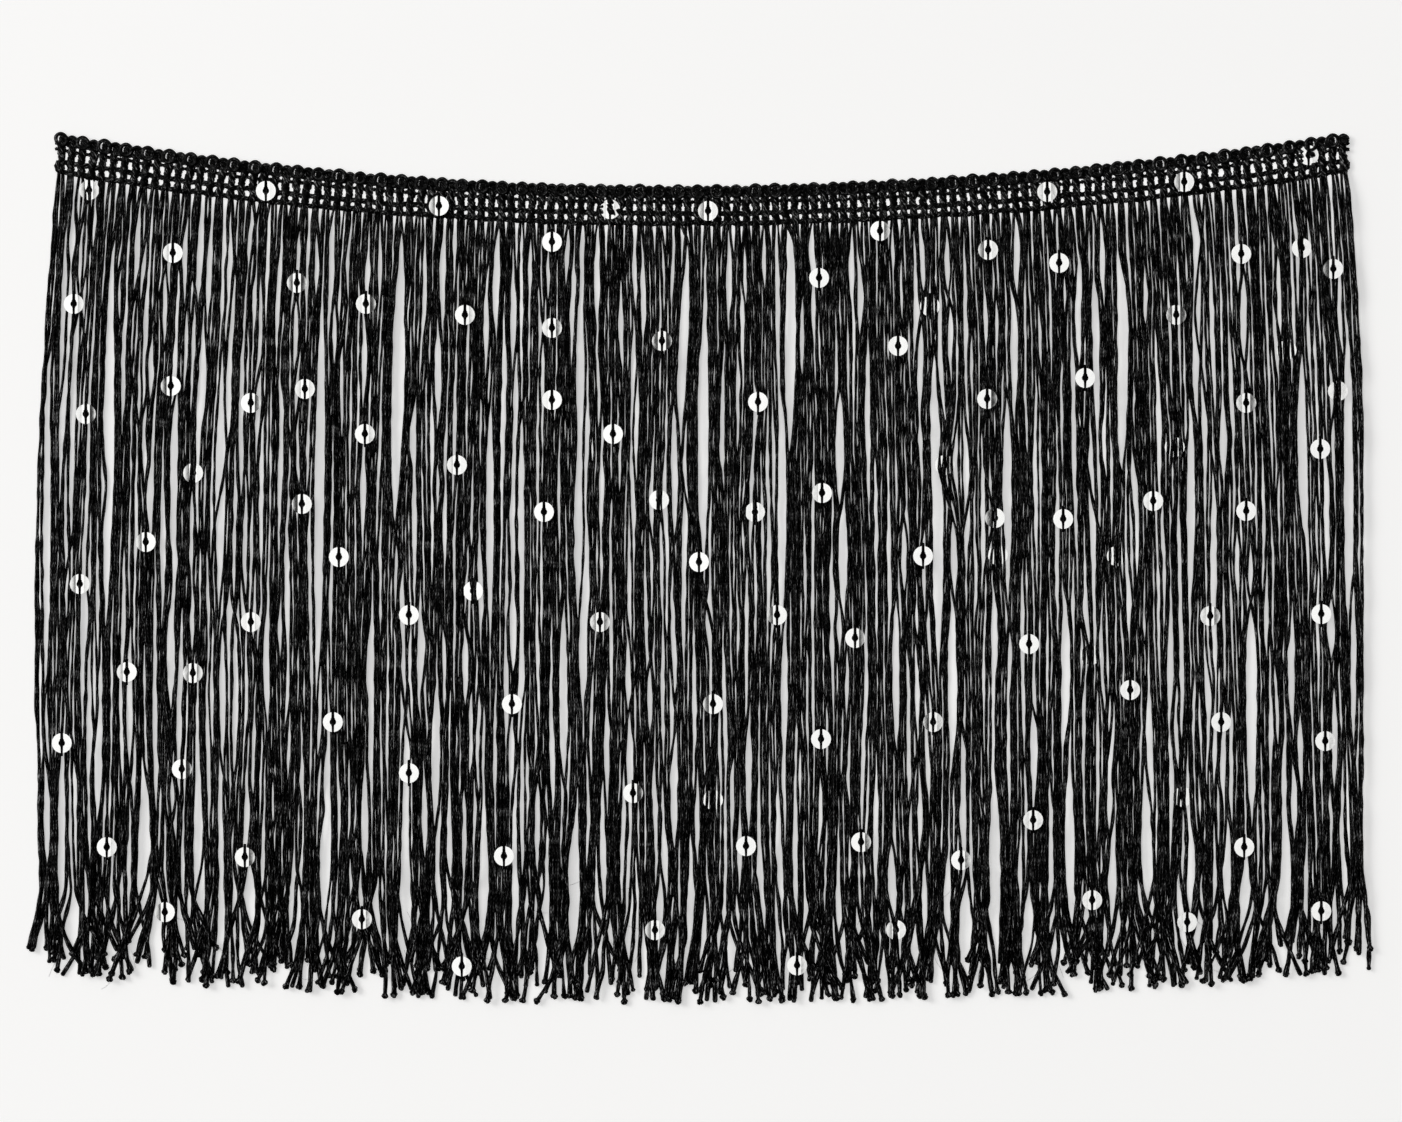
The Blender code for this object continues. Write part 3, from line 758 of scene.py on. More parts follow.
    def push(self, parting, x, y, firmness):
        """Sideways push that clears a parting.

        A strand at a distance a from its middle line moves out by half - firmness * a, if
        that is more than nothing. half is half of the opening, which grows and shrinks as
        (4 p (1 - p))^0.7 with the share p of its length. A strand's side is the one where it
        passes the middle.
        """
        strands = self.settings
        run = (parting.bottom - parting.top) * STEP
        part = np.clip((along(parting.top) - y) / run, 0, 1)
        opening = parting.width * self.OPENING * STEP + strands.width
        half = opening / 2 * (4 * part * (1 - part)) ** 0.7
        middle = across(parting.x) + parting.lean * STEP * (part - 0.5)
        drop = np.clip(self.root_y - along((parting.top + parting.bottom) / 2), 0, self.reach)
        side = np.where(self.natural_x(drop[:, None]) < across(parting.x), -1, 1)
        out = np.clip(half - firmness * side * (x - middle), 0, 2 * half)
        return np.where(self.wild[:, None], 0, side * out)

    def draw_to(self, sequin, x, y):
        """Bend the nearest strand of the sequin's layer to pass behind the sequin.

        It moves less with the distance a along it, by exp(-(a / 27 mm)^2).
        """
        layer = LAYERS - 1 - int(max(sequin.depth, 0))
        rows = np.flatnonzero(self.layer == layer)
        ring = np.argmin(np.abs(y[rows] - along(sequin.y)), axis=1)
        off = across(sequin.x) - x[rows, ring]
        nearest = np.argmin(np.abs(off))
        row = rows[nearest]
        window = np.exp(-((y[row] - along(sequin.y)) / (27 * MM)) ** 2)
        x[row] += off[nearest] * window
        return x

    def lay_over(self, sequin, x, y):
        """Lay the strands of the layers above a sequin across its face.

        The nearest two of them run side by side over its middle, or the nearest four if it
        lies deeper. The others near it pass outside its rim. Each moves less with the
        distance a along it, by exp(-(a / 11 mm)^2), and hardly at its root. A sequin in
        front of its strands moves none.
        """
        above = (self.layer > LAYERS - 1 - sequin.depth) & (self.root_y > along(sequin.y))
        ring = np.argmin(np.abs(y - along(sequin.y)), axis=1)
        off = x[np.arange(self.count), ring] - across(sequin.x)
        rows = np.flatnonzero(above & (np.abs(off) < 2 * self.clearance))
        if sequin.depth < 1 or not rows.size:
            return x
        off = off[rows]
        count, gap = (2, 0.9 * MM) if sequin.depth < 2 else (4, 1.3 * MM)
        count = min(count, len(rows))
        nearest = np.argsort(np.abs(off))[:count]
        nearest = nearest[np.argsort(off[nearest])]
        target = np.sign(off) * np.maximum(np.abs(off), self.clearance)
        target[nearest] = gap * (np.arange(count) - (count - 1) / 2)
        window = np.exp(-((y[rows] - along(sequin.y)) / (11 * MM)) ** 2)
        rooted = 1 - np.exp((y[rows] - self.root_y[rows, None]) / (3 * MM))
        x[rows] += (target - off)[:, None] * window * rooted
        return x


def add_node(tree, kind, settings=None, links=None):
    """Add a node with its settings and links.

    A setting is a property of the node, or else the value of one of its inputs. A link
    names an input and what feeds it, which is an output, or a node for its first output.
    """
    node = tree.nodes.new("ShaderNode" + kind)
    for name, value in (settings or {}).items():
        if isinstance(name, str) and hasattr(node, name):
            setattr(node, name, value)
        else:
            node.inputs[name].default_value = value
    for name, source in (links or {}).items():
        output = source.outputs[0] if isinstance(source, bpy.types.Node) else source
        tree.links.new(output, node.inputs[name])
    return node


def new_material(name, settings):
    """A material with a Principled shader, its tree and the shader."""
    material = bpy.data.materials.new(name)
    material.use_nodes = True
    shader = material.node_tree.nodes["Principled BSDF"]
    for socket, value in settings.items():
        shader.inputs[socket].default_value = value
    return material, material.node_tree, shader


def yarn_material(name, finish, stitch, slant, depth, roughness, shine, painted_sheen=1.0, bundles=9.0):
    """Yarn of bright continuous filaments, dyed black.

    The filaments give small sharp glints where stitches turn to the light. Between them the
    yarn swallows light. Stitches are waves along v that slant with u, mirrored on the two
    sides of the yarn as in a chain. The real filaments are about 0.015 mm and too fine to
    show, so they are drawn as bundles, a noise 3.6 mm long and so many to the round. The
    bump is 0.22 of the wave plus that noise. A painted highlight lightens the base colour
    along streaks of the noise and on the crests of the stitches. Its share is the painted
    sheen times the noise's share from 0.58 to 0.68, times 0.6 plus 0.4 of the wave.
    """
    material, tree, shader = new_material(name, {"Specular IOR Level": shine, "IOR": 1.47})
    uv = add_node(tree, "UVMap", {"uv_map": "surface"})
    parts = add_node(tree, "SeparateXYZ", {}, {0: uv})
    mirrored = add_node(tree, "Math", {"operation": "PINGPONG", 1: 0.25}, {0: parts})
    leaned = add_node(tree, "Math", {"operation": "MULTIPLY", 1: slant}, {0: mirrored})
    turning = {"operation": "MULTIPLY_ADD", 1: 2 * np.pi / stitch}
    phase = add_node(tree, "Math", turning, {0: parts.outputs[1], 2: leaned})
    wave = add_node(tree, "Math", {"operation": "SINE"}, {0: phase})
    scale = {"operation": "MULTIPLY", 1: (bundles, 1 / BUNDLE_LENGTH, 0.0)}
    drawn_out = add_node(tree, "VectorMath", scale, {0: uv})
    noise = {"noise_dimensions": "2D", "Scale": 1.0, "Detail": 3.0, "Roughness": 0.55}
    fibres = add_node(tree, "TexNoise", noise, {"Vector": drawn_out})
    height = add_node(tree, "Math", {"operation": "MULTIPLY_ADD", 1: 0.22}, {0: wave, 2: fibres})
    bump = add_node(tree, "Bump", {"Strength": 1.0, "Distance": depth}, {"Height": height})
    # Painted highlight: the base colour turns lighter on streaks of the noise and on the stitch
    # crests, in place of light that the filaments catch.
    ramp = {"From Min": 0.58, "From Max": 0.68, "To Max": painted_sheen}
    streaks = add_node(
        tree, "MapRange", {"interpolation_type": "SMOOTHSTEP", **ramp}, {0: fibres}
    )
    crests = add_node(tree, "Math", {"operation": "MULTIPLY_ADD", 1: 0.4, 2: 0.6}, {0: wave})
    caught = add_node(tree, "Math", {"operation": "MULTIPLY"}, {0: streaks, 1: crests})
    tones = {"data_type": "RGBA", 6: tuple(finish.yarn), 7: tuple(finish.painted_sheen_colour)}
    tone = add_node(tree, "Mix", tones, {0: caught})
    rough = {"From Min": 0.3, "From Max": 0.7, "To Min": roughness - 0.1, "To Max": roughness + 0.12}
    gloss = add_node(tree, "MapRange", rough, {0: fibres})
    tree.links.new(tone.outputs[2], shader.inputs["Base Color"])
    tree.links.new(gloss.outputs[0], shader.inputs["Roughness"])
    tree.links.new(bump.outputs[0], shader.inputs["Normal"])
    return material


def foil_material(finish, dent):
    """Metallised polyester film, punched flat: a bright mirror with faint scuffs and dents.

    A dent is a slope down towards the right in the outer part of one side, where the film
    mirrors the dim side of the room. At a share s from the rim to the dent's inner edge the
    film lies lower by s^1.3 on the left and higher by it on the right. The real scuffs are
    finer than the render shows, so they are drawn 1.6 mm wide.
    """
    settings = {"Metallic": 1.0, "Base Color": tuple(finish.foil)}
    material, tree, shader = new_material("metallised_film", settings)
    place = add_node(tree, "TexCoord").outputs["Object"]
    noise = {"Scale": 1 / SCUFF_LENGTH, "Detail": 4.0}
    scuffs = add_node(tree, "TexNoise", noise, {"Vector": place})
    rough = {"From Min": 0.35, "From Max": 0.7, "To Min": 0.08, "To Max": 0.2}
    gloss = add_node(tree, "MapRange", rough, {0: scuffs})
    uv = add_node(tree, "UVMap", {"uv_map": "surface"})
    parts = add_node(tree, "SeparateXYZ", {}, {0: uv})
    steps = []
    for rim, inner in ((-1.0, -0.4), (1.0, 0.4)):
        ramp = add_node(tree, "MapRange", {"From Min": rim, "From Max": inner}, {0: parts})
        steps.append(add_node(tree, "Math", {"operation": "POWER", 1: 1.3}, {0: ramp}))
    both = add_node(tree, "Math", {"operation": "SUBTRACT"}, {0: steps[0], 1: steps[1]})
    fall = add_node(tree, "Math", {"operation": "MULTIPLY"}, {0: both, 1: parts.outputs[1]})
    height = add_node(tree, "Math", {"operation": "MULTIPLY_ADD", 1: 0.1}, {0: scuffs, 2: fall})
    dented = {"Strength": 1.0, "Distance": dent, "invert": True}
    bump = add_node(tree, "Bump", dented, {"Height": height})
    tree.links.new(gloss.outputs[0], shader.inputs["Roughness"])
    tree.links.new(bump.outputs[0], shader.inputs["Normal"])
    return material


# Each yarn with its stitch length, the slant and depth of its stitches, its roughness and its
# shine. Crocheted rayon is plied and tightly twisted, so it hardly shines. Looped rayon is the
# same yarn wound in rings, whose sides catch a little light. Rayon chainette is a loose chain
# of bright filaments, with the sharpest glints. Sewing thread is smooth and almost dull. How
# much painted highlight a yarn's colour carries and its bundles to the round are given where
# they are not 1 and 9.
YARNS = {
    "crocheted_rayon": {
        "stitch": 1.1 * MM, "slant": 16.0, "depth": 0.14 * MM, "roughness": 0.4, "shine": 0.06,
        "bundles": 14.0,
    },
    "looped_rayon": {
        "stitch": 1.0 * MM, "slant": 16.0, "depth": 0.1 * MM, "roughness": 0.4, "shine": 0.1,
        "painted_sheen": 0.5, "bundles": 11.0,
    },
    "rayon_chainette": {
        "stitch": 1.3 * MM, "slant": 20.0, "depth": 0.2 * MM, "roughness": 0.18, "shine": 0.05,
    },
    "sewing_thread": {
        "stitch": 0.8 * MM, "slant": 12.0, "depth": 0.03 * MM, "roughness": 0.5, "shine": 0.03,
        "painted_sheen": 0.1,
    },
}


def yarn(name, finish):
    """The material of a yarn, made the first time that it is asked for."""
    return bpy.data.materials.get(name) or yarn_material(name, finish, **YARNS[name])


class FRINGE_OT_heading(bpy.types.Operator):
    """Build the twisted wales and the cords across them"""

    bl_idname = "fringe.heading"
    bl_label = "Heading Ground"

    def execute(self, context):
        settings = context.scene.fringe
        heading = settings.heading
        draw = np.random.default_rng(settings.strands.seed + 3)
        crocheted = yarn("crocheted_rayon", settings.finish)
        for mesh in (self.wales(heading, draw), self.cords(heading, draw)):
            place_piece(mesh, crocheted, ["heading"])
        return {"FINISHED"}

    def wales(self, heading, draw):
        """Two plies wound round each wale's middle line.

        A ply is thicker near each cord, by swelling times the sum of exp(-(distance /
        0.8 mm)^2) less 0.4, and by 0.35 where the thread of a sequin pulls.
        """
        middle = wale_paths(heading, draw)
        wales = twisted(middle, heading.wale_ply * 0.55, heading.wale_twist, 2, heading.flatness)
        depth = np.linspace(heading.wale_top, heading.wale_bottom, middle.shape[1])
        crossings = np.array((heading.thin_cord, heading.middle_cord, heading.bottom_cord))
        near = np.exp(-((depth - crossings[:, None]) / (0.8 * MM)) ** 2).sum(axis=0)
        ply = heading.wale_ply * (1 + heading.swelling * (near - 0.4))
        ply = ply * (1 + 0.35 * self.pulled(wales))
        ply = ply * (1 + 0.12 * even_noise(draw, wales.shape[:2], 2))
        return tube_mesh("heading_wales", wales, ply, ply * 0.62, 6)

    def cords(self, heading, draw):
        """Three plies round the ring of the two thick cords, and two round each thin one."""
        ring = cord_path(heading, heading.middle_cord, heading.bottom_cord, 1350, draw)
        cords = twisted(ring, heading.cord_ply * 0.9, heading.cord_twist, 3, heading.flatness)
        ply = heading.cord_ply * (1 + 0.12 * even_noise(draw, cords.shape[:2], 3))
        meshes = [tube_mesh("thick_cords", cords, ply, ply * 0.75, 5)]
        thin = ((heading.thin_cord, heading.thin_ply), (heading.neck_cord, heading.neck_ply))
        for depth, radius in thin:
            cord = straight_cord(heading, depth, 700, draw)
            plies = twisted(cord, radius * 0.85, heading.cord_twist * 0.6, 2, heading.flatness)
            meshes.append(tube_mesh("thin_cord", plies, radius, radius * 0.8, 5))
        return join_meshes("heading_cords", meshes)

    def pulled(self, points):
        """How tightly a sequin's thread pulls the stitches together: exp(-(distance / 4 mm)^2)."""
        x = across(np.array([sequin.x for sequin in SEQUINS]))
        y = along(np.array([sequin.y for sequin in SEQUINS]))
        squared = (points[..., 0, None] - x) ** 2 + (points[..., 1, None] - y) ** 2
        return np.exp(-squared / (4 * MM) ** 2).max(axis=-1)


class FRINGE_OT_loops(bpy.types.Operator):
    """Build the row of round loops along the top edge"""

    bl_idname = "fringe.loops"
    bl_label = "Heading Loops"

    def execute(self, context):
        settings = context.scene.fringe
        heading = settings.heading
        draw = np.random.default_rng(settings.strands.seed)
        mesh = join_meshes("heading_loops", [self.loops(heading, draw), self.knots(heading)])
        looped = yarn("looped_rayon", settings.finish)
        row = place_piece(mesh, looped, ["heading"])
        return {"FINISHED"}

    def loops(self, heading, draw):
        """Rings of yarn, every other one larger and in front.

        At an angle a the middle line lies at size * cos a along the tape, size * sin a
        towards the edge, and 0.18 mm * sin a up. Five lumps thicken it by 0.07 sin 5a.
        """
        middles, _ = wale_middles(heading)
        front = np.arange(heading.wales) % 2 == 0
        size = heading.loop_radius * np.where(front, 1.12, 1.0)
        size = size * (1 + 0.05 * draw.standard_normal(heading.wales))
        angle = np.linspace(0, 2 * np.pi, 22)[None]
        depth = heading.loop_depth + 0.2 * MM * ~front[:, None] - size[:, None] * np.sin(angle)
        x, y = tape_point(heading, middles[:, None] + size[:, None] * np.cos(angle), depth)
        level = heading.level + np.where(front, 0.75, 0.05)[:, None] * MM
        z = level + 0.18 * MM * np.sin(angle)
        radius = heading.loop_yarn * (1 + 0.07 * np.sin(5 * angle))
        return tube_mesh("loops", np.stack((x, y, z), axis=-1), radius, 0.9 * radius, 8)

    def knots(self, heading):
        """Three short plies behind each loop, which taper as sqrt(1 - 0.8 s^2), s from -1 to 1."""
        middles, _ = wale_middles(heading)
        share_along = np.linspace(-1, 1, 8)[None]
        depth = heading.loop_depth + 1.25 * MM * share_along
        x, y = tape_point(heading, middles[:, None] + 0 * share_along, depth)
        core = np.stack((x, y, np.full(x.shape, 0.6 * MM)), axis=-1)
        plies = twisted(core, 0.6 * MM, 2.3 * MM, 3, 0.3)
        taper = np.sqrt(np.maximum(1 - 0.8 * share_along ** 2, 0.02))
        return tube_mesh("knots", plies, 0.5 * MM * taper, 0.34 * MM * taper, 6)


class FRINGE_OT_strands(bpy.types.Operator):
    """Build the strands, one mesh for each layer"""

    bl_idname = "fringe.strands"
    bl_label = "Strands"

    def execute(self, context):
        settings = context.scene.fringe
        strands = settings.strands
        layout = StrandLayout(settings)
        paths = layout.paths()
        draw = np.random.default_rng(strands.seed + 1)
        # A strand rocks about its path by 0.55 sin(2 pi run / turn + start), less at its tip.
        # It narrows by 0.06 of the share of its length, and flares at its tip by 0.44 share^8.
        lumps = 1 + strands.lumps * even_noise(draw, paths.shape[:2], 1)
        start = draw.uniform(0, 2 * np.pi, (layout.count, 1))
        along_share = np.linspace(0, 1, layout.RINGS)
        run = layout.reach[:, None] * along_share
        swing = 0.55 * (1 - along_share ** 6) * np.sin(2 * np.pi * run / strands.turn + start)
        own = draw.normal(1, 0.08, (layout.count, 1))
        taper = 1.0 - 0.06 * along_share + 0.44 * along_share ** 8
        wide = strands.width / 2 * lumps * own * taper
        high = strands.thickness / 2 * lumps * (1 + 0.35 * along_share ** 8)
        material = yarn("rayon_chainette", settings.finish)
        for layer in range(LAYERS):
            rows = layout.layer == layer
            mesh = tube_mesh(
                f"strands_layer_{layer + 1}", paths[rows], wide[rows], high[rows], 4, swing[rows]
            )
            place_piece(mesh, material, ["fringe"])
        self.tufts(settings, layout, paths)
        return {"FINISHED"}

    def tufts(self, settings, layout, paths):
        """Frayed cut ends: short thick locks that spread from each strand's tip.

        A lock runs from the tip along the strand's last direction, turned by its own angle.
        Some ends flare into a knob, and others stay blunt.
        """
        strands = settings.strands
        draw = np.random.default_rng(strands.seed + 2)
        tip = paths[:, -1]
        ahead = unit(paths[:, -1] - paths[:, -3])
        heading_angle = np.arctan2(ahead[:, 0], -ahead[:, 1])
        flare = np.where(draw.random(layout.count) < 0.6, 1.0, 0.25)[:, None]
        locks = np.array((-0.6, -0.2, 0.2, 0.6))
        angle = heading_angle[:, None] + flare * (locks + draw.normal(0, 0.12, (layout.count, 4)))
        reach = strands.tuft * draw.uniform(0.75, 1.0, (layout.count, 4)) * (0.5 + 0.5 * flare)
        reach = reach * np.cos(locks)
        share_along = np.linspace(0, 1, 5)
        along_lock = reach[..., None] * share_along
        curve = 0.4 + 0.6 * share_along
        turned = heading_angle[:, None, None] * (1 - curve) + angle[..., None] * curve
        start = tip - ahead * 0.4 * MM
        x = start[:, None, None, 0] + along_lock * np.sin(turned)
        y = start[:, None, None, 1] - along_lock * np.cos(turned)
        z = start[:, None, None, 2] - 0.1 * MM * share_along
        z = np.maximum(np.broadcast_to(z, x.shape), 0.56 * MM)
        points = np.stack((x, y, z), axis=-1).reshape(-1, 5, 3)
        points[..., 1] = np.maximum(points[..., 1], cad_low.y + 0.4 * MM)
        radius = 0.6 * MM * np.array((0.9, 1.0, 1.12, 1.1, 0.75))
        mesh = tube_mesh("frayed_ends", points, radius, radius * 0.8, 4)
        place_piece(mesh, yarn("rayon_chainette", settings.finish), ["fringe"])


class FRINGE_OT_fibres(bpy.types.Operator):
    """Build the loose filaments that stand off the strands near the hem"""

    bl_idname = "fringe.fibres"
    bl_label = "Stray Fibres"

    COUNT = 60
    POINTS = 14

    def execute(self, context):
        # A filament bends evenly: its angle to the strands grows in step with its length.
        settings = context.scene.fringe
        draw = np.random.default_rng(settings.strands.seed + 4)
        shape = (self.COUNT, 1)
        start_x = draw.uniform(-0.97, 0.97, shape) * cad_high.x
        start_y = cad_low.y + draw.gamma(2.0, 8.0, shape) * MM + 10 * MM
        run = draw.uniform(3.0, 9.0, shape) * MM * np.linspace(0, 1, self.POINTS)
        bend = draw.normal(0, 70, shape)
        angle = draw.uniform(-1.3, 1.3, shape) + bend * run * 1.2
        step = np.gradient(run, axis=1)
        x = start_x + np.cumsum(step * np.sin(angle), axis=1)
        y = start_y - np.cumsum(step * np.cos(angle), axis=1)
        z = 1.2 * MM + 1.4 * MM * draw.random(shape) + 0 * run
        points = np.stack((x, np.maximum(y, cad_low.y), z), axis=-1)
        mesh = tube_mesh("stray_fibres", points, 0.05 * MM, 0.05 * MM, 3)
        place_piece(mesh, yarn("rayon_chainette", settings.finish), [])
        return {"FINISHED"}


class FRINGE_OT_sequins(bpy.types.Operator):
    """Build the sequins and the threads that hold them"""

    bl_idname = "fringe.sequins"
    bl_label = "Sequins"

    SIDES = 18
    DENT_SPAN = 0.5        # metres over which the dents' depth grows by its own size
    # The thread's course over a sequin, from top to bottom: reach as a share of the
    # sequin's radius, size as a share of the thread's own, and height in millimetres.
    THREAD = (
        (1.3, 1.0, -0.3), (1.04, 1.0, 0.08), (0.75, 1.0, 0.16), (0.42, 1.1, 0.16),
        (0.29, 1.9, 0.0), (0.15, 2.5, -0.2), (-0.15, 2.5, -0.2), (-0.29, 1.8, -0.1),
        (-0.45, 0.9, 0.06), (-0.8, 0.8, 0.1), (-1.04, 0.8, 0.0), (-1.3, 0.8, -0.3),
    )

    def execute(self, context):
        """Cupped rings, each tilted and set at its layer, then their threads.

        At radius r and angle a a face lies at (r cos a, r sin a, -cup * (r / rim)^2). It is
        tilted by adding x and y times small random slopes to its height, and one in front of
        its strands is lifted by three quarters of what its rim then dips. The map surface
        holds x / rim in u, and the depth of the dent on that side in v, (looks / 9)^0.6. It
        grows by a fifth for each 100 mm to the left, where the room's dim side lies further
        round in the foil.
        """
        settings = context.scene.fringe
        sequins = settings.sequins
        strands = settings.strands
        nodes = [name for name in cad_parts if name.startswith("sequin_")]
        if not nodes:
            raise RuntimeError("The frame has no sequins for these to stand for")
        table = np.array(SEQUINS, float)
        middle_x = across(table[:, 0])[:, None, None]
        middle_y = along(table[:, 1])[:, None, None]
        depth, left, right = table[:, 2:].T
        rim = sequins.diameter / 2
        half = sequins.thickness / 2
        radii = np.array((sequins.hole / 2, rim * 0.66, rim))
        angle = 2 * np.pi * np.arange(self.SIDES) / self.SIDES
        ring = np.stack((np.cos(angle), np.sin(angle)), axis=-1)
        top = [(radius, half) for radius in radii]
        profile = np.array(top + [(radii[2], -half), (radii[0], -half)])
        local = profile[:, None, 0, None] * ring[None]
        sag = -sequins.cup * (profile[:, 0] / rim) ** 2
        x = np.broadcast_to(local[..., 0], (len(table),) + local.shape[:2])
        y = np.broadcast_to(local[..., 1], x.shape)
        draw = np.random.default_rng(strands.seed + 5)
        slopes = np.tan(sequins.tilt) * np.clip(draw.normal(0, 1, (len(table), 2)), -2, 2)
        tilted = x * slopes[:, :1, None] + y * slopes[:, 1:, None]
        level = strands.bottom_level + strands.layer_step * (LAYERS - 1 - depth) + sequins.lift
        level = level + 0.75 * rim * np.hypot(*slopes.T) * (depth <= 0)
        z = tilted + (profile[:, 1] + sag)[None, :, None] + level[:, None, None]
        points = np.stack((x + middle_x, y + middle_y, z), axis=-1)
        index = np.arange(x.size).reshape(x.shape)
        faces = quads(np.pad(index, ((0, 0), (0, 1), (0, 1)), mode="wrap")).reshape(-1, 4)
        looks = np.where(x < 0, left[:, None, None], right[:, None, None])
        dents = (looks / 9) ** 0.6 * (1 - middle_x / self.DENT_SPAN)
        surface = np.stack((x / rim, dents), axis=-1).reshape(-1, 2)[faces]
        mesh = new_mesh("sequins", points.reshape(-1, 3), (faces,), (surface,))
        mesh.set_sharp_from_angle(angle=np.radians(35))
        foil = foil_material(settings.finish, sequins.dent)
        place_piece(mesh, foil, nodes)
        self.threads(settings, middle_x[:, 0], middle_y[:, 0], level, slopes[:, 1:])
        return {"FINISHED"}

    def threads(self, settings, middle_x, middle_y, level, slope):
        """The thread of each sequin, knotted in its hole.

        It runs over the face from the top edge to the hole, fills the hole with its knot
        and goes on to the bottom edge, thinner there.
        """
        sequins = settings.sequins
        reach, size, height = np.array(self.THREAD).T
        over = sequins.diameter / 2 * reach
        y = middle_y + over
        z = level[:, None] + height * MM + over * slope
        paths = np.stack((np.broadcast_to(middle_x, y.shape), y, z), axis=-1)
        wide = sequins.thread / 2 * size
        flat = sequins.thread / 4 * np.minimum(size, 1.2)
        mesh = tube_mesh("sequin_threads", paths, wide, flat, 6)
        place_piece(mesh, yarn("sewing_thread", settings.finish), [])


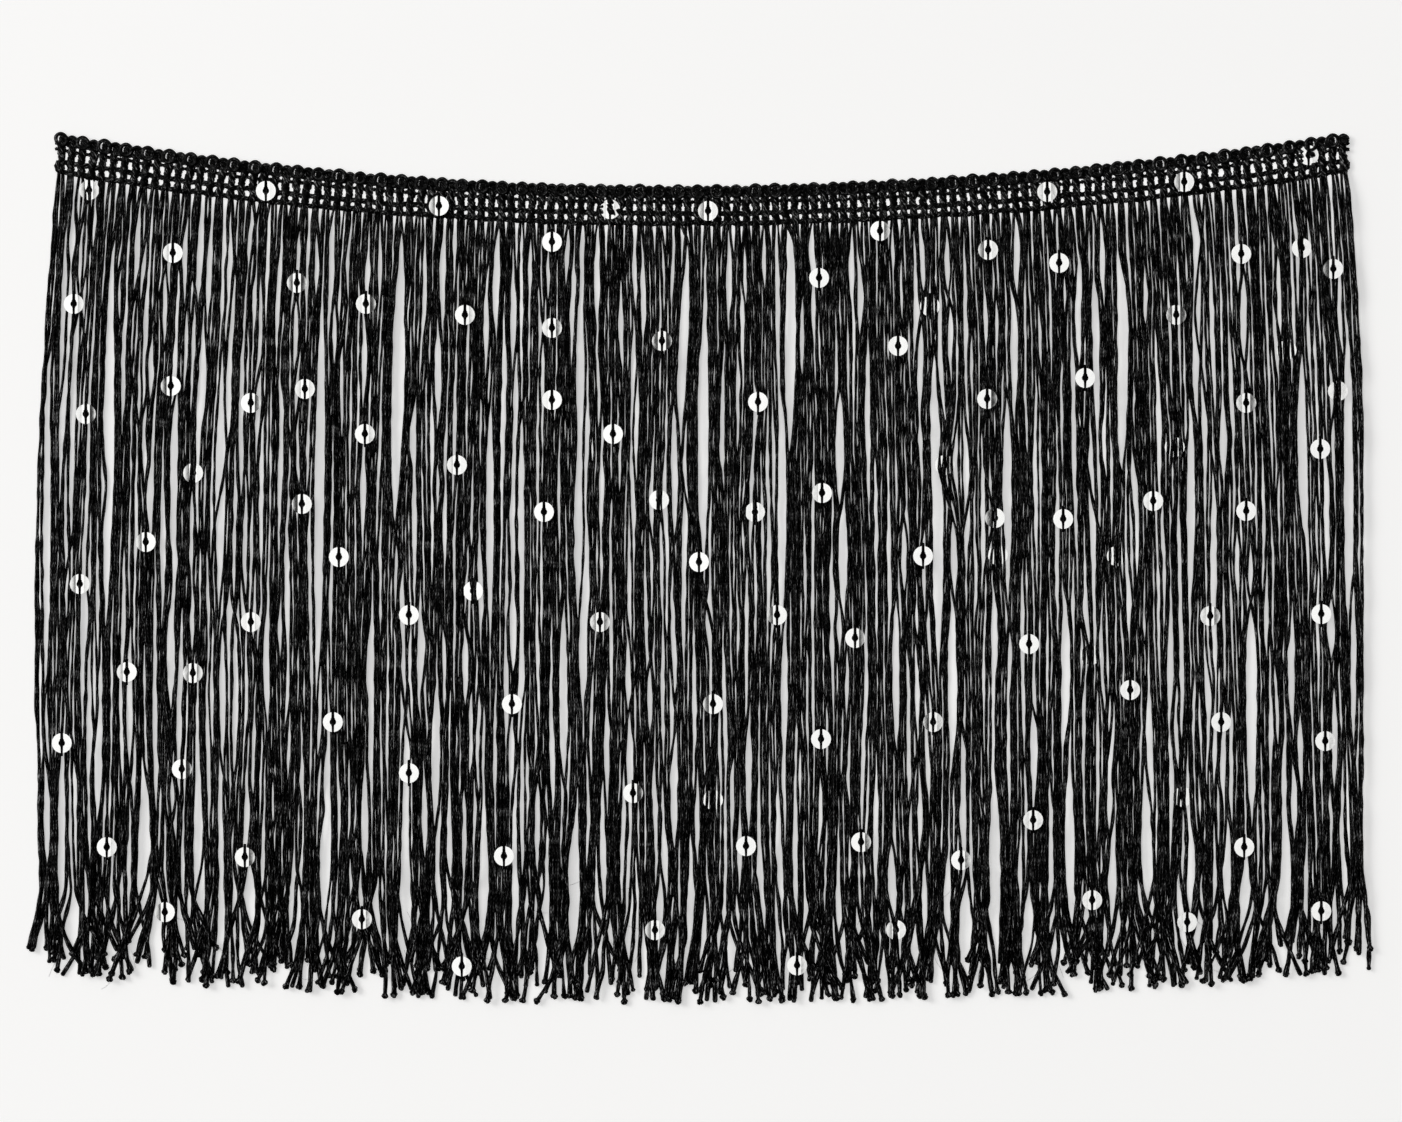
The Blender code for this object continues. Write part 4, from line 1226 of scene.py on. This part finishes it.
class FRINGE_OT_stage(bpy.types.Operator):
    """Set the floor, the soft light and the camera straight above"""

    bl_idname = "fringe.stage"
    bl_label = "Stage"

    FLOOR_HALF = 4.0                         # half of the floor's width
    # Rows of the glowing strip: depth in millimetres, and share of its extra glow.
    STRIP = ((1.5, 0), (3.5, 1), (11.0, 1), (16.0, 0))
    KEY_PLACE = (-3.9, 1.6, 3.0)
    # The room's two glows: their direction, the cosines between which they grow, and their
    # strengths there. The first is its bright side, the second the box straight above.
    GLOWS = (
        ((-0.7, 0.6, 0.35), (0.0, 1.0), (0.03, 0.57)),
        ((-0.05, 0.03, 1.0), (0.87, 0.965), (0.0, 0.88)),
    )
    CAMERA_LEVEL = 2.5 * MM                  # height at which the sheet fills the picture

    def execute(self, context):
        scene = context.scene
        stage = scene.fringe.stage
        scene.view_settings.view_transform = "Standard"
        self.floor(stage)
        self.painted_glow_strip(stage, scene.fringe.heading)
        self.lights(scene, stage)
        self.camera(scene, stage)
        return {"FINISHED"}

    def floor(self, stage):
        """A wide matt floor, a hair below the piece."""
        corners = np.array(((-1, -1, 0), (1, -1, 0), (1, 1, 0), (-1, 1, 0))) * self.FLOOR_HALF
        corners[:, 2] = -0.02 * MM
        mesh = new_mesh("floor", corners, (np.arange(4)[None],))
        self.lay_paper(mesh, stage)

    def painted_glow_strip(self, stage, heading):
        """A strip of the floor that glows more: a painted pool of light, hidden by the tape but for
        its openings, where it brightens the floor seen through them.

        Its rows follow the top edge at four depths, and the extra glow fades out over the
        first and the last of the three bands between them.
        """
        x = np.linspace(heading.left + 1 * MM, heading.right - 1 * MM, 120)
        depth, fade = np.array(self.STRIP).T[..., None]
        px, py = tape_point(heading, x[None], depth * MM)
        points = np.stack((px, py, np.full(px.shape, -0.01 * MM)), axis=-1).reshape(-1, 3)
        faces = quads(np.arange(len(points)).reshape(px.shape)).reshape(-1, 4)
        fade = quads(np.broadcast_to(fade, px.shape))
        mesh = new_mesh("painted_glow_strip", points, (faces,), (np.stack((fade, 0 * fade), axis=-1),))
        tree, shader = self.lay_paper(mesh, stage)
        uv = add_node(tree, "UVMap", {"uv_map": "surface"})
        parts = add_node(tree, "SeparateXYZ", {}, {0: uv})
        glow = {"operation": "MULTIPLY_ADD", 1: stage.tape_glow, 2: stage.glow}
        strength = add_node(tree, "Math", glow, {0: parts})
        tree.links.new(strength.outputs[0], shader.inputs["Emission Strength"])

    def lay_paper(self, mesh, stage):
        """Give a mesh of the stage its glowing matt paper, and return the paper's shader."""
        settings = {
            "Base Color": tuple(stage.floor),
            "Roughness": 0.9,
            "Specular IOR Level": 0.2,
            "Emission Color": hex_colour("FFFFFF"),
            "Emission Strength": stage.glow,
        }
        material, tree, shader = new_material("matt_paper_" + mesh.name, settings)
        mesh.materials.append(material)
        add_object(mesh)
        return tree, shader

    def lights(self, scene, stage):
        """A soft key from the left, a bright box straight above and a dimmer room."""
        light = bpy.data.lights.new("key", "AREA")
        light.shape = "DISK"
        light.size = stage.key_size
        light.energy = stage.key_power
        key = add_object(light)
        key.location = self.KEY_PLACE
        key.rotation_euler = (-Vector(key.location)).to_track_quat("-Z", "Y").to_euler()
        world = bpy.data.worlds.new("studio")
        world.use_nodes = True
        scene.world = world
        tree = world.node_tree
        background = tree.nodes["Background"]
        place = add_node(tree, "TexCoord").outputs["Generated"]
        room, box = (self.glow_towards(tree, place, *glow) for glow in self.GLOWS)
        both = add_node(tree, "Math", {"operation": "ADD"}, {0: room, 1: box})
        strength = add_node(tree, "Math", {"operation": "MULTIPLY", 1: stage.fill}, {0: both})
        tree.links.new(strength.outputs[0], background.inputs["Strength"])
        background.inputs["Color"].default_value = hex_colour("FFFFFF")

    def glow_towards(self, tree, place, direction, cosines, strengths):
        """Light of the world that grows smoothly towards a direction.

        It rises from the first to the second strength as the cosine of the angle to the
        direction goes from the first to the second cosine.
        """
        towards = {"operation": "DOT_PRODUCT", 1: Vector(direction).normalized()}
        facing = add_node(tree, "VectorMath", towards, {0: place}).outputs["Value"]
        ramp = {
            "interpolation_type": "SMOOTHSTEP",
            "From Min": cosines[0], "From Max": cosines[1],
            "To Min": strengths[0], "To Max": strengths[1],
        }
        return add_node(tree, "MapRange", ramp, {0: facing})

    def camera(self, scene, stage):
        """A camera straight above that takes in the whole layout sheet."""
        data = bpy.data.cameras.new("camera")
        data.sensor_fit = "HORIZONTAL"
        height = stage.camera_height - self.CAMERA_LEVEL
        data.lens = data.sensor_width * height / (SHEET_WIDTH * STEP)
        camera = add_object(data)
        camera.location = (across(SHEET_WIDTH / 2), along(SHEET_HEIGHT / 2), stage.camera_height)
        scene.camera = camera


class FRINGE_PT_panel(bpy.types.Panel):
    """The pieces of the fringe and their settings"""

    bl_idname = "FRINGE_PT_panel"
    bl_label = "Sequin Fringe"
    bl_space_type = "VIEW_3D"
    bl_region_type = "UI"
    bl_category = "Fringe"

    def draw(self, context):
        settings = context.scene.fringe
        for operator in OPERATORS:
            self.layout.operator(operator.bl_idname)
        for group in (
            settings.heading, settings.strands, settings.sequins, settings.finish, settings.stage
        ):
            box = self.layout.box()
            for name in group.bl_rna.properties.keys():
                if name not in {"rna_type", "name"}:
                    box.prop(group, name)


OPERATORS = (
    FRINGE_OT_heading, FRINGE_OT_loops, FRINGE_OT_strands, FRINGE_OT_fibres, FRINGE_OT_sequins,
    FRINGE_OT_stage
)
GROUPS = (
    HeadingSettings, StrandSettings, SequinSettings, FinishSettings, StageSettings, FringeSettings
)
CLASSES = (*GROUPS, *OPERATORS, FRINGE_PT_panel)


def register():
    for cls in CLASSES:
        bpy.utils.register_class(cls)
    bpy.types.Scene.fringe = PointerProperty(type=FringeSettings)


def unregister():
    del bpy.types.Scene.fringe
    for cls in reversed(CLASSES):
        bpy.utils.unregister_class(cls)


def main():
    register()
    bpy.ops.fringe.heading()
    bpy.ops.fringe.loops()
    bpy.ops.fringe.strands()
    bpy.ops.fringe.fibres()
    bpy.ops.fringe.sequins()
    bpy.ops.fringe.stage()


if __name__ == "__main__":
    main()
